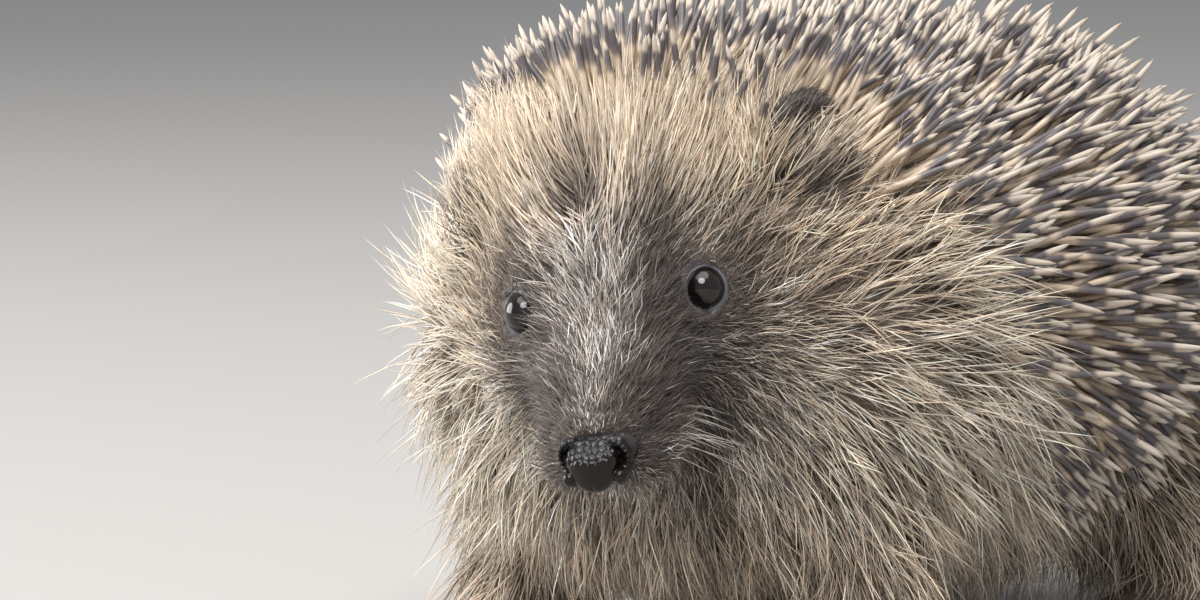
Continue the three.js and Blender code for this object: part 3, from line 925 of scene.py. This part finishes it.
def makeSpineTree():
    tree = bpy.data.node_groups.new("spinesOnSkin", "GeometryNodeTree")
    kinds = dict(Geometry="Geometry", Spacing="Float", Length="Float", Thickness="Float", Scatter="Float",
                 Sides="Int", Rings="Int", Seed="Int", Finish="Material")
    for name, kind in kinds.items():
        tree.interface.new_socket(name, in_out="INPUT", socket_type="NodeSocket" + kind)
    tree.interface.new_socket("Geometry", in_out="OUTPUT", socket_type="NodeSocketGeometry")
    given = tree.nodes.new("NodeGroupInput").outputs
    seed = {"Seed": given["Seed"]}
    spine = oneSpine(tree, given)
    # where they stand, and which way
    spots = node(tree, "GeometryNodeDistributePointsOnFaces", distribute_method="POISSON")
    for name, source in (("Mesh", "Geometry"), ("Distance Min", "Spacing"), ("Seed", "Seed")):
        tree.links.new(given[source], spots.inputs[name])
    spots.inputs["Density Max"].default_value = spines["mostPerArea"]
    anyWay = node(tree, "FunctionNodeRandomValue", {**seed, 0: (-1, -1, -1), 1: (1, 1, 1)},
                  data_type="FLOAT_VECTOR").outputs[0]
    swing = node(tree, "ShaderNodeVectorMath", {0: anyWay, "Scale": given["Scatter"]}, operation="SCALE")
    way = node(tree, "ShaderNodeVectorMath", {0: stored(tree, "lie", "FLOAT_VECTOR"), 1: swing.outputs[0]},
               operation="ADD")
    aim = node(tree, "FunctionNodeAlignRotationToVector", {"Vector": way.outputs[0]}, axis="Z").outputs[0]
    spinBy = node(tree, "FunctionNodeRandomValue", {**seed, 3: 6.283}, data_type="FLOAT").outputs[1]
    spinAbout = node(tree, "ShaderNodeCombineXYZ", {"Z": spinBy}).outputs[0]
    spin = node(tree, "FunctionNodeEulerToRotation", {0: spinAbout}).outputs[0]
    turned = node(tree, "FunctionNodeRotateRotation", {0: aim, 1: spin}, rotation_space="LOCAL").outputs[0]
    least, most = spines["varied"]
    varied = node(tree, "FunctionNodeRandomValue", {**seed, 2: least, 3: most},
                  data_type="FLOAT").outputs[1]
    scaled = calc(tree, "MULTIPLY", stored(tree, "size"), varied)
    long = calc(tree, "MULTIPLY", scaled, given["Length"])
    wide = calc(tree, "MULTIPLY", calc(tree, "POWER", scaled, spines["slimming"]), given["Length"])
    scale = node(tree, "ShaderNodeCombineXYZ", {"X": wide, "Y": wide, "Z": long}).outputs[0]
    placed = node(tree, "GeometryNodeInstanceOnPoints",
                  {"Points": spots.outputs["Points"], "Instance": spine, "Rotation": turned,
                   "Scale": scale}).outputs["Instances"]
    # what the map and the finish need to know of each spine
    rooted = store(tree, placed, "root", node(tree, "GeometryNodeInputPosition").outputs[0], "FLOAT_VECTOR")
    fate = node(tree, "FunctionNodeRandomValue", seed, data_type="FLOAT").outputs[1]
    tinted = store(tree, rooted, "own", calc(tree, "SUBTRACT", fate, stored(tree, "front")))
    whole = node(tree, "GeometryNodeRealizeInstances", {"Geometry": tinted}).outputs["Geometry"]
    dressed = node(tree, "GeometryNodeSetMaterial", {"Geometry": whole, "Material": given["Finish"]})
    result = tree.nodes.new("NodeGroupOutput")
    tree.links.new(dressed.outputs["Geometry"], result.inputs["Geometry"])
    return tree


def makeSpineMaterial():
    # pale base, dark band, pale tip; each spine's bands a little further up or down
    material, tree, shader = plainMaterial("spine", spines["bands"][0][1], spines["roughness"])
    along = node(tree, "ShaderNodeAttribute", attribute_name="along").outputs["Fac"]
    own = node(tree, "ShaderNodeAttribute", attribute_name="own").outputs["Fac"]
    down, up = spines["bandShift"]
    shift = node(tree, "ShaderNodeMapRange", {"Value": own, "To Min": down, "To Max": up}, clamp=False)
    colour = node(tree, "ShaderNodeValToRGB", {"Fac": calc(tree, "ADD", along, shift.outputs[0])})
    ramp = colour.color_ramp
    last = len(spines["bands"]) - 1
    for k, (at, shade) in enumerate(spines["bands"]):
        stop = ramp.elements[0] if k == 0 else ramp.elements[-1] if k == last else ramp.elements.new(at)
        stop.position, stop.color = at, (*shade, 1)
    tree.links.new(colour.outputs["Color"], shader.inputs["Base Color"])
    return material


def spineLie(p, n):
    # flow with the coat, raised from the skin: upright on the crown, flatter down the flanks
    flow = lieOfCoat(p, n)
    crown = (1 - rise(p[:, 1], -68, -20)) * rise(p[:, 2], 62, 80)
    raised = np.radians(np.interp(p[:, 2], (28, 50, 75, 90), (16, 20, 24, 30)) + 36 * crown)
    return flow * np.cos(raised)[:, None] + n * np.sin(raised)[:, None]


def storePoints(mesh, name, kind, values):
    # one value or one vector for each point
    layer = mesh.attributes.new(name, kind, "POINT")
    layer.data.foreach_set("value" if kind == "FLOAT" else "vector", values.astype(np.float32).ravel())


def spineBed(name, faces):
    # a stretch of skin, sunk a little, that knows the lie and size of the spines on it
    used, faces = np.unique(faces, return_inverse=True)
    points = skinPoints[used]
    n = unit(slopeOf(skinShape, points))
    bed = meshFrom(name + "Bed", points - n * spines["sunk"], faces.reshape(-1, 4))
    edge = np.clip(spineZone(points), 0, spines["edge"])
    crown = (1 - rise(points[:, 1], -50, -22)) * rise(points[:, 2], 66, 80)
    size = np.interp(edge, (0, spines["edge"]), (spines["atEdge"], 1.0))
    size = (size + 0.2 * crown * (1 - rise(edge, 0, 10))) * (1 - 0.2 * crown)
    storePoints(bed.data, "lie", "FLOAT_VECTOR", spineLie(points, n))
    storePoints(bed.data, "size", "FLOAT", size)
    storePoints(bed.data, "front", "FLOAT", 0.9 * crown)
    return bed


def plainMesh(bed, name):
    # what the modifier makes of a bed, as a mesh of its own
    bpy.context.view_layer.update()
    ready = bed.evaluated_get(bpy.context.evaluated_depsgraph_get())
    obj = bpy.data.objects.new(name, bpy.data.meshes.new_from_object(ready))
    bpy.data.objects.remove(bed)
    bpy.context.scene.collection.objects.link(obj)
    return obj


def mapSpines(mesh):
    # the OFBake map, where each spine stands on its root's place
    count = len(mesh.vertices)
    root, along = np.zeros(count * 3, np.float32), np.zeros(count, np.float32)
    mesh.attributes["root"].data.foreach_get("vector", root)
    mesh.attributes["along"].data.foreach_get("value", along)
    flat = unwrap(root.reshape(-1, 3) * 1000 - origin)
    flat = flat + along[:, None] * np.array([[0.0, laidFlat["patch"][1]]])
    corner = np.zeros(len(mesh.loops), np.int32)
    mesh.loops.foreach_get("vertex_index", corner)
    mesh.uv_layers.new(name="OFBake").data.foreach_set("uv", flat[corner].astype(np.float32).ravel())


def spineGround():
    # the faces of the skin that carry spines: clear of the tail, the ears and the hem
    inside = spineZone(skinPoints)[skinQuads].min(1) > 0
    inside &= (skinPoints[skinQuads][:, :, 2].min(1) > spines["lowest"]) & ~onTail
    fromTail = np.linalg.norm((faceMiddle - tailRoot - (0, 0, -2)) * (0.7, 1, 1), axis=1)
    inside &= fromTail > spines["roundTail"]
    for ear in (earLeft, earRight):
        fromEar = np.linalg.norm(skinHead - np.array(ear["middle"]) - (0, 1.5, 0), axis=1)
        inside &= fromEar > spines["roundEars"]
    return inside


def makeSpines():
    tree = makeSpineTree()
    given = dict(Spacing=spines["spacing"] / 1000 * 1, Length=spines["length"] / 1000,
                 Thickness=spines["thick"] / 1000, Scatter=spines["scatter"], Sides=spines["sides"],
                 Rings=spines["points"], Finish=makeSpineMaterial())
    inside = spineGround()
    middle = faceMiddle[:, 1]
    first, second = spines["cuts"]
    beds = dict(frontSpines=middle < first, midSpines=(middle >= first) & (middle < second),
                rearSpines=middle >= second)
    for k, (name, part) in enumerate(beds.items()):
        bed = spineBed(name, skinQuads[inside & part])
        modifier = bed.modifiers.new("spines", "NODES")
        modifier.node_group = tree
        given["Seed"] = spines["seed"] + k
        for socket in tree.interface.items_tree:
            if socket.in_out == "INPUT" and socket.name in given:
                modifier[socket.identifier] = given[socket.name]
        obj = plainMesh(bed, name)
        mapSpines(obj.data)
        finishPiece(obj, None, "spines")
        print(name, "triangles", sum(len(f.vertices) - 2 for f in obj.data.polygons))


makeSpines()


def addBump(tree, shader, scale, strength, distance, detail=3.0):
    place = node(tree, "ShaderNodeTexCoord").outputs["Object"]
    pattern = node(tree, "ShaderNodeTexNoise", {"Vector": place, "Scale": scale, "Detail": detail})
    bump = node(tree, "ShaderNodeBump", {"Height": pattern.outputs[0], "Strength": strength,
                                         "Distance": distance})
    tree.links.new(bump.outputs["Normal"], shader.inputs["Normal"])


def noiseTint(tree, shader, scale, dark, light):
    # the colour wanders between two shades over the surface
    place = node(tree, "ShaderNodeTexCoord").outputs["Object"]
    pattern = node(tree, "ShaderNodeTexNoise", {"Vector": place, "Scale": scale, "Detail": 4.0})
    shades = node(tree, "ShaderNodeValToRGB", {"Fac": pattern.outputs[0]})
    for stop, at, colour in zip(shades.color_ramp.elements, (0.3, 0.7), (dark, light)):
        stop.position, stop.color = at, (*colour, 1)
    tree.links.new(shades.outputs["Color"], shader.inputs["Base Color"])


def makeMaterials():
    eye, tree, shader = plainMaterial("blackEye", (0.004, 0.003, 0.003), 0.08)
    noiseTint(tree, shader, 900, (0.003, 0.002, 0.002), (0.007, 0.004, 0.003))
    shader.inputs["IOR"].default_value = 1.5
    wetNose, tree, shader = paintedMaterial("wetNose", 0.2)
    shader.inputs["Specular IOR Level"].default_value = 0.26
    addBump(tree, shader, 1500, 0.3, 0.00012)
    bare, tree, shader = paintedMaterial("bareSkin", 0.45)
    addBump(tree, shader, 1800, 0.4, 0.0002)
    clawHorn, tree, shader = plainMaterial("horn", (0.3, 0.24, 0.18), 0.35)
    noiseTint(tree, shader, 400, (0.16, 0.115, 0.08), (0.4, 0.32, 0.24))
    addBump(tree, shader, 1200, 0.25, 0.0001)
    return eye, wetNose, bare, clawHorn


eyeMaterial, noseMaterial, bareMaterial, clawMaterial = makeMaterials()


eyeball = dict(rows=25, columns=48, cornea=0.12)  # the cornea stands a little proud
# each ring of a lid: how far outside the opening, how high, how much it follows the skin, how high over it
lids = dict(
    gap=2.9, corner=0.6, cornerAt=-0.5, around=72,
    rings=((-0.5, -0.35, 0, 0), (-0.04, 0.03, 0, 0), (0.03, 0.14, 0, 0), (0.13, 0.2, 0, 0),
           (0.26, 0.14, 0.05, 0.2), (0.38, -0.02, 0.25, 0.24), (0.52, -0.1, 0.5, 0.18),
           (0.68, -0.04, 0.7, 0.28), (0.84, -0.15, 0.82, 0.16), (1.02, -0.1, 0.9, 0.28),
           (1.25, -0.2, 0.97, 0.16), (1.5, -0.2, 1.0, 0.12), (2.1, 0, 1.0, -0.6)),
    # bare is the lid skin and inner its dark edge; the pale rim colour is a painted highlight
    bare=(0.062, 0.058, 0.062), inner=(0.010, 0.009, 0.010), rimHighlight=(0.17, 0.17, 0.195),
)


def eyeFrame(side):
    middle = np.array([side * skin["eyeAcross"], 0, 0])
    gaze = unit(np.array(skin["gaze"]) * (side, 1, 1))
    toNose = unit(np.array([0, -1, -0.25]) - gaze * (np.array([0, -1, -0.25]) @ gaze))
    up = np.cross(gaze, toNose) * (1 if np.cross(gaze, toNose)[2] > 0 else -1)
    return middle, gaze, toNose, up


def gridFaces(rows, columns):
    # quads between rows of points, each row closed to a ring
    faces = []
    for i in range(rows - 1):
        for j in range(columns):
            k = (j + 1) % columns
            faces.append((i * columns + j, i * columns + k, (i + 1) * columns + k, (i + 1) * columns + j))
    return np.array(faces)


def outward(points, faces, middle):
    corner = points[faces]
    normal = np.cross(corner[:, 1] - corner[:, 0], corner[:, 2] - corner[:, 0])
    return faces if (normal * (corner.mean(1) - middle)).sum() > 0 else faces[:, ::-1]


def makeEyeball(side, word):
    middle, gaze, toNose, up = eyeFrame(side)
    rows, columns = eyeball["rows"], eyeball["columns"]
    polar = np.linspace(0.02, math.pi - 0.02, rows)
    turn = np.arange(columns) * 2 * math.pi / columns
    bulge = skin["eyeRadius"] + eyeball["cornea"] * np.exp(-(polar / 0.7) ** 2)
    ring = np.cos(turn)[None, :, None] * toNose + np.sin(turn)[None, :, None] * up
    sphere = np.cos(polar)[:, None, None] * gaze + np.sin(polar)[:, None, None] * ring
    points = (middle + bulge[:, None, None] * sphere).reshape(-1, 3)
    faces = outward(points, gridFaces(rows, columns), middle)
    eye = meshFrom("eyeball_" + word, fromHead(points), faces)
    closeHoles(eye)
    finishPiece(eye, eyeMaterial, "eyeball", "eye_" + word)


def lidRound(side):
    # from under the edge of the eye out over the skin
    middle, gaze, toNose, up = eyeFrame(side)
    closed = lambda q: headShape(q, False)
    r = skin["eyeRadius"]
    turn = np.arange(lids["around"]) * 2 * math.pi / lids["around"]
    gap = lids["gap"] + lids["corner"] * np.exp(-((turn - 2 * math.pi - lids["cornerAt"]) / 0.3) ** 2)
    gap = gap + lids["corner"] * np.exp(-((turn - lids["cornerAt"]) / 0.3) ** 2)
    gap = gap + 0.08 * np.cos(2 * turn) - 0.1 * np.clip(np.sin(turn), 0, 1)
    edge = np.sqrt(np.maximum(r ** 2 - np.minimum(gap, r - 0.12) ** 2, 0.0))
    ray = np.cos(turn)[:, None] * toNose + np.sin(turn)[:, None] * up
    rings = []
    for out, lift, toSkin, over in lids["rings"]:
        rad = gap + out
        ball = np.sqrt(np.maximum(r ** 2 - np.minimum(rad, r - 0.12) ** 2, 0.0))
        height = np.where(rad < r - 0.2, ball, edge) + lift * (1 + 0.3 * np.sin(turn))
        spot = middle + ray * rad[:, None] + gaze * height[:, None]
        onSkin = settle(closed, spot, 4)
        onSkin = onSkin + unit(slopeOf(closed, onSkin)) * over
        rings.append(spot * (1 - toSkin) + onSkin * toSkin)
    points = np.array(rings).reshape(-1, 3)
    faces = gridFaces(len(rings), lids["around"])
    corner = points[faces[-200:]]
    normal = np.cross(corner[:, 1] - corner[:, 0], corner[:, 2] - corner[:, 0])
    return fromHead(points), faces[:, ::-1] if (normal @ gaze).sum() < 0 else faces


def makeEyes():
    for side, word in ((1, "left"), (-1, "right")):
        makeEyeball(side, word)
    lid = meshFrom("eyelids", *join([lidRound(side) for side in (1, -1)]))
    paint(lid, lidColour)
    finishPiece(lid, bareMaterial, "bare_skin")
    print("eyes and lids made")


def closeHoles(obj):
    mesh = bmesh.new()
    mesh.from_mesh(obj.data)
    edges = [e for e in mesh.edges if e.is_boundary]
    if edges:
        bmesh.ops.holes_fill(mesh, edges=edges, sides=0)
    mesh.to_mesh(obj.data)
    mesh.free()


def paint(obj, rule):
    count = len(obj.data.vertices)
    place = np.zeros(count * 3, np.float32)
    obj.data.vertices.foreach_get("co", place)
    storeColour(obj, rule(place.reshape(-1, 3).astype(float) * 1000 - origin))


def lidColour(p):
    h = toHead(p)
    shade = np.tile(np.array(lids["bare"]), (len(p), 1))
    for side in (1, -1):
        middle, gaze, _, up = eyeFrame(side)
        off = h - middle
        high = off @ up
        rad = np.sqrt(np.maximum((off ** 2).sum(-1) - (off @ gaze) ** 2, 0))
        here = np.linalg.norm(off, axis=1) < 8
        # a painted highlight along the rim of the lid, stronger on its lower side
        edge = near(rad, 3.2, 0.16) * (0.4 + 0.6 * rise(-high, -0.6, 1.4))
        shade = mix(shade, np.array(lids["inner"]), here * (1 - rise(rad, 2.9, 3.15)))
        shade = mix(shade, np.array(lids["rimHighlight"]), here * np.clip(edge, 0, 1) * 0.85)
        shade = mix(shade, tone["root"] * 0.9, here * rise(rad, 3.5, 4.3))
    return shade


nose = dict(
    middle=(0, -31.4, -8.8), step=0.17, cobble=0.25,
    wing=((2.9, 0.0, 2.5), (4.05, 0.4, 2.05), (4.75, 0.5, 0.3), (4.5, 0.0, -1.6), (3.5, -1.4, -2.7)),
    wingThick=(0.55, 0.66, 0.78, 0.9, 1.1), beads=8,
    # top is a painted sheen on the cobbles; sides is the back rim, partly its own bluish-grey skin and
    # partly painted sheen
    wet=(0.0072, 0.0050, 0.0040), top=(0.016, 0.015, 0.0165), sides=(0.042, 0.041, 0.048),
)
noseTurn = turnAbout("z", -9)


def noseShape(h):
    q = (h - np.array(nose["middle"])) @ noseTurn
    side = mirrored(q)
    x, y, z = side.T
    # the pad: a flat smooth front, a cobbled top that slopes back, sides that narrow downwards
    half = np.interp(z, (-4.6, -3.5, -2.1, 0.1, 0.9, 3.4), (1.5, 2.35, 3.1, 3.75, 3.75, 2.7))
    front = -(y + 3.7) + 0.09 * x ** 2 + 0.05 * (z + 1.5) ** 2
    slope = -0.42 * (y + 4.0) + 0.908 * (z - 0.6)
    d = carve(x - half, -(np.maximum(-z - 4.2, z + 0.25 * y - 3.1)), 1.6)
    d = carve(d, -front, 0.9)
    d = carve(d, -slope, 0.8)
    d = carve(d, -(y - 3.5), 1.0)
    along = 0.908 * (y + 4.0) + 0.42 * (z - 0.6)
    row = along / 1.2 + 0.2 * np.sin(q[:, 0] * 1.7 + 0.6)
    column = q[:, 0] / 1.12 + 0.5 * (np.floor(row) % 2) + 0.2 * np.sin(along * 2.3 + 1.0)
    cobble = np.abs(np.sin(math.pi * row)) ** 0.55 * np.abs(np.sin(math.pi * column)) ** 0.55
    upper = (1 - rise(-slope, 0.7, 1.5)) * rise(along, -0.5, 0.5)
    d = d - nose["cobble"] * (cobble - 0.5) * upper
    # wings: a curled flap each side with a beaded edge, and a slot between it and the pad
    thick = nose["wingThick"]
    for k, (a, b) in enumerate(zip(nose["wing"], nose["wing"][1:])):
        flap = limb(side, a, b, thick[k], thick[k + 1])
        wing = flap if k == 0 else blendIn(wing, flap, 0.25)
    wing = blendIn(wing, egg(side, (3.75, -1.7, -2.35), (1.1, 1.3, 1.15)), 0.35)  # the lobe below the slot
    for k in range(nose["beads"]):
        turn = math.radians(62 - 15.5 * k)
        bead = (2.6 + 2.45 * math.cos(turn), -0.75 + 0.05 * k, 0.25 + 2.75 * math.sin(turn))
        wing = blendIn(wing, egg(side, bead, (0.42, 0.5, 0.36)), 0.08)
    d = blendIn(d, wing, 0.3)
    d = blendIn(d, egg(q, (0, 3.2, -0.5), (5.2, 3.0, 4.0)), 0.8)
    d = carve(d, limb(side, (3.9, -2.6, 1.4), (4.1, 1.4, 0.4), 0.3, 0.5), 0.15)
    d = carve(d, limb(q, (0, -3.9, -2.6), (0, -2.2, -5.2), 0.08, 0.3), 0.3)
    return d - 0.012 * np.sin(q[:, 0] * 13 + 2 * np.sin(z * 9)) * np.sin(z * 12) * (1 - upper)


def noseColour(p):
    # black and wet in front, paler over the cobbled top as painted sheen, bluish-grey over the back rim as
    # its own skin and painted sheen
    q = (toHead(p) - np.array(nose["middle"])) @ noseTurn
    top = rise(-0.42 * (q[:, 1] + 4.0) + 0.908 * (q[:, 2] - 0.6), -0.5, 0.1) * rise(q[:, 1], -4.0, -2.4)
    shade = np.tile(np.array(nose["wet"]), (len(p), 1))
    shade = mix(shade, np.array(nose["top"]), top)
    return mix(shade, np.array(nose["sides"]), rise(q[:, 1], 0.2, 2.2) * rise(q[:, 2], -1.5, 1.5))


def makeNose():
    fine = nose["step"] * 1
    x, y, z = nose["middle"]
    points, quads = skinOver(noseShape, steps((x - 6.4, x + 6.4, fine)), steps((y - 4.6, y + 6.4, fine)),
                             steps((z - 5.4, z + 5.2, fine)), 6)
    points = settle(noseShape, points, 1)
    pad = meshFrom("nosePad", fromHead(points), quads)
    paint(pad, noseColour)
    finishPiece(pad, noseMaterial, "wet_skin", "nose")
    print("nose:", len(quads), "faces")


claws = dict(front=6.0, hind=5.2, thick=0.95, sides=9, rings=8, curl=1.25, high=2.35)


def oneClaw(plan, k, long):
    # in the foot's own frame, from inside the toe to a blunt tip
    far, way = toeLine(plan, k)
    share = np.linspace(0, 1, claws["rings"])
    length = long * (1 - 0.12 * abs(k - 2))
    curl = np.sin(share * claws["curl"]) / math.sin(claws["curl"])
    ahead = far - 0.9 + (length + 0.6) * curl
    high = claws["high"] + 0.35 * np.sin(share * math.pi) - 1.75 * share ** 2
    centre = np.stack([way[0] * ahead, way[1] * ahead, high], -1)
    radius = claws["thick"] * np.sqrt(np.maximum(1 - share ** 1.7, 0.004))
    around = np.arange(claws["sides"]) * 2 * math.pi / claws["sides"]
    ring = np.cos(around)[:, None] * np.array([way[1], -way[0], 0.0]) * 0.72
    ring = ring + np.sin(around)[:, None] * np.array([0, 0, 1.0])
    points = (centre[:, None] + radius[:, None, None] * ring).reshape(-1, 3)
    return points, outward(points, gridFaces(claws["rings"], claws["sides"]), centre.mean(0))


def makeClaws():
    parts = []
    for name in footPlans:
        for side in (1, -1):
            plan, turn, place = footFrame(name, side)
            for k in range(plan["toes"]):
                points, faces = oneClaw(plan, k, claws[name])
                parts.append((points @ turn.T + place, faces))
    obj = meshFrom("claws", *join(parts))
    closeHoles(obj)
    finishPiece(obj, clawMaterial, "horn",
                *[f"{foot}_claw_{side}_{k}" for foot in ("front", "hind")
                  for side in ("left", "right") for k in range(1, 6)])
    print("claws made")


makeEyes()
makeNose()
makeClaws()


def makeSkinMaterial():
    root, tip, _ = coatColour(skinPoints)
    storeColour(body, mix(root, tip, np.full(len(root), 0.06)))
    material, tree, shader = paintedMaterial("furSkin", 0.62)
    addBump(tree, shader, 1500, 0.85, 0.0006, 4.0)
    return material


finishPiece(body, makeSkinMaterial(), "fur", "head", "snout", "lower_jaw", "neck", "spiny_back",
            "belly_and_flanks", "tail", "ear_left", "ear_right",
            *[f"{part}_{kind}_{side}" for part in ("front", "hind") for kind in ("leg", "foot")
              for side in ("left", "right")])


studio = dict(
    azimuth=30.0, elevation=5.0, distance=900.0, lens=188.19, eyesRight=14.0, sensor=36.0, pixels=1200.0,
    floorHalf=25, floorColour=(0.38, 0.37, 0.355), skyColour=(0.93, 0.95, 1.0), skyStrength=0.5,
    lamps=(("softAbove", (0.0, -0.35, 1.4), 1.6, 22, (1.0, 0.98, 0.96)),
           ("softSide", (-1.35, -0.45, 0.3), 1.2, 29, (1.0, 0.98, 0.96)),
           ("softFill", (0.35, -1.15, 1.2), 0.95, 25, (1.0, 0.99, 0.98))),
    lampsTo=(0, -0.04, 0.06),
)


def facing(way):
    return Vector(way).to_track_quat("-Z", "Y").to_euler()


def makeStudio():
    scene = bpy.context.scene
    mesh = bpy.data.meshes.new("floor")
    half = studio["floorHalf"]
    corners = [(x * half, y * half, 0) for x, y in ((-1, -1), (1, -1), (1, 1), (-1, 1))]
    mesh.from_pydata(corners, [], [(0, 1, 2, 3)])
    floor = bpy.data.objects.new("floor", mesh)
    scene.collection.objects.link(floor)
    floor.data.materials.append(plainMaterial("paleFloor", studio["floorColour"], 0.85)[0])
    world = bpy.data.worlds.new("softRoom")
    world.use_nodes = True
    sky = world.node_tree.nodes["Background"].inputs
    sky["Color"].default_value = (*studio["skyColour"], 1)
    sky["Strength"].default_value = studio["skyStrength"]
    scene.world = world
    scene.view_settings.view_transform = "Standard"
    for name, at, size, power, colour in studio["lamps"]:
        light = bpy.data.lights.new(name, "AREA")
        light.shape, light.size, light.energy, light.color = "DISK", size, power, colour
        lamp = bpy.data.objects.new(name, light)
        lamp.location = at
        lamp.rotation_euler = facing(np.array(studio["lampsTo"]) - at)
        scene.collection.objects.link(lamp)
    az, el = math.radians(studio["azimuth"]), math.radians(studio["elevation"])
    back = np.array([math.sin(az) * math.cos(el), -math.cos(az) * math.cos(el), math.sin(el)])
    right = np.array([math.cos(az), math.sin(az), 0])
    eyes = headPlace + origin
    perPixel = studio["distance"] * studio["sensor"] / studio["lens"] / studio["pixels"]
    place = (eyes + studio["distance"] * back - right * studio["eyesRight"] * perPixel) / 1000.0
    camera = bpy.data.objects.new("camera", bpy.data.cameras.new("camera"))
    camera.data.lens, camera.data.sensor_width = studio["lens"], studio["sensor"]
    camera.data.sensor_fit = "HORIZONTAL"
    camera.data.clip_start, camera.data.clip_end = 0.05, 60.0
    camera.location = place
    camera.rotation_euler = facing(-back)
    scene.collection.objects.link(camera)
    scene.camera = camera
    print("studio made")


makeStudio()
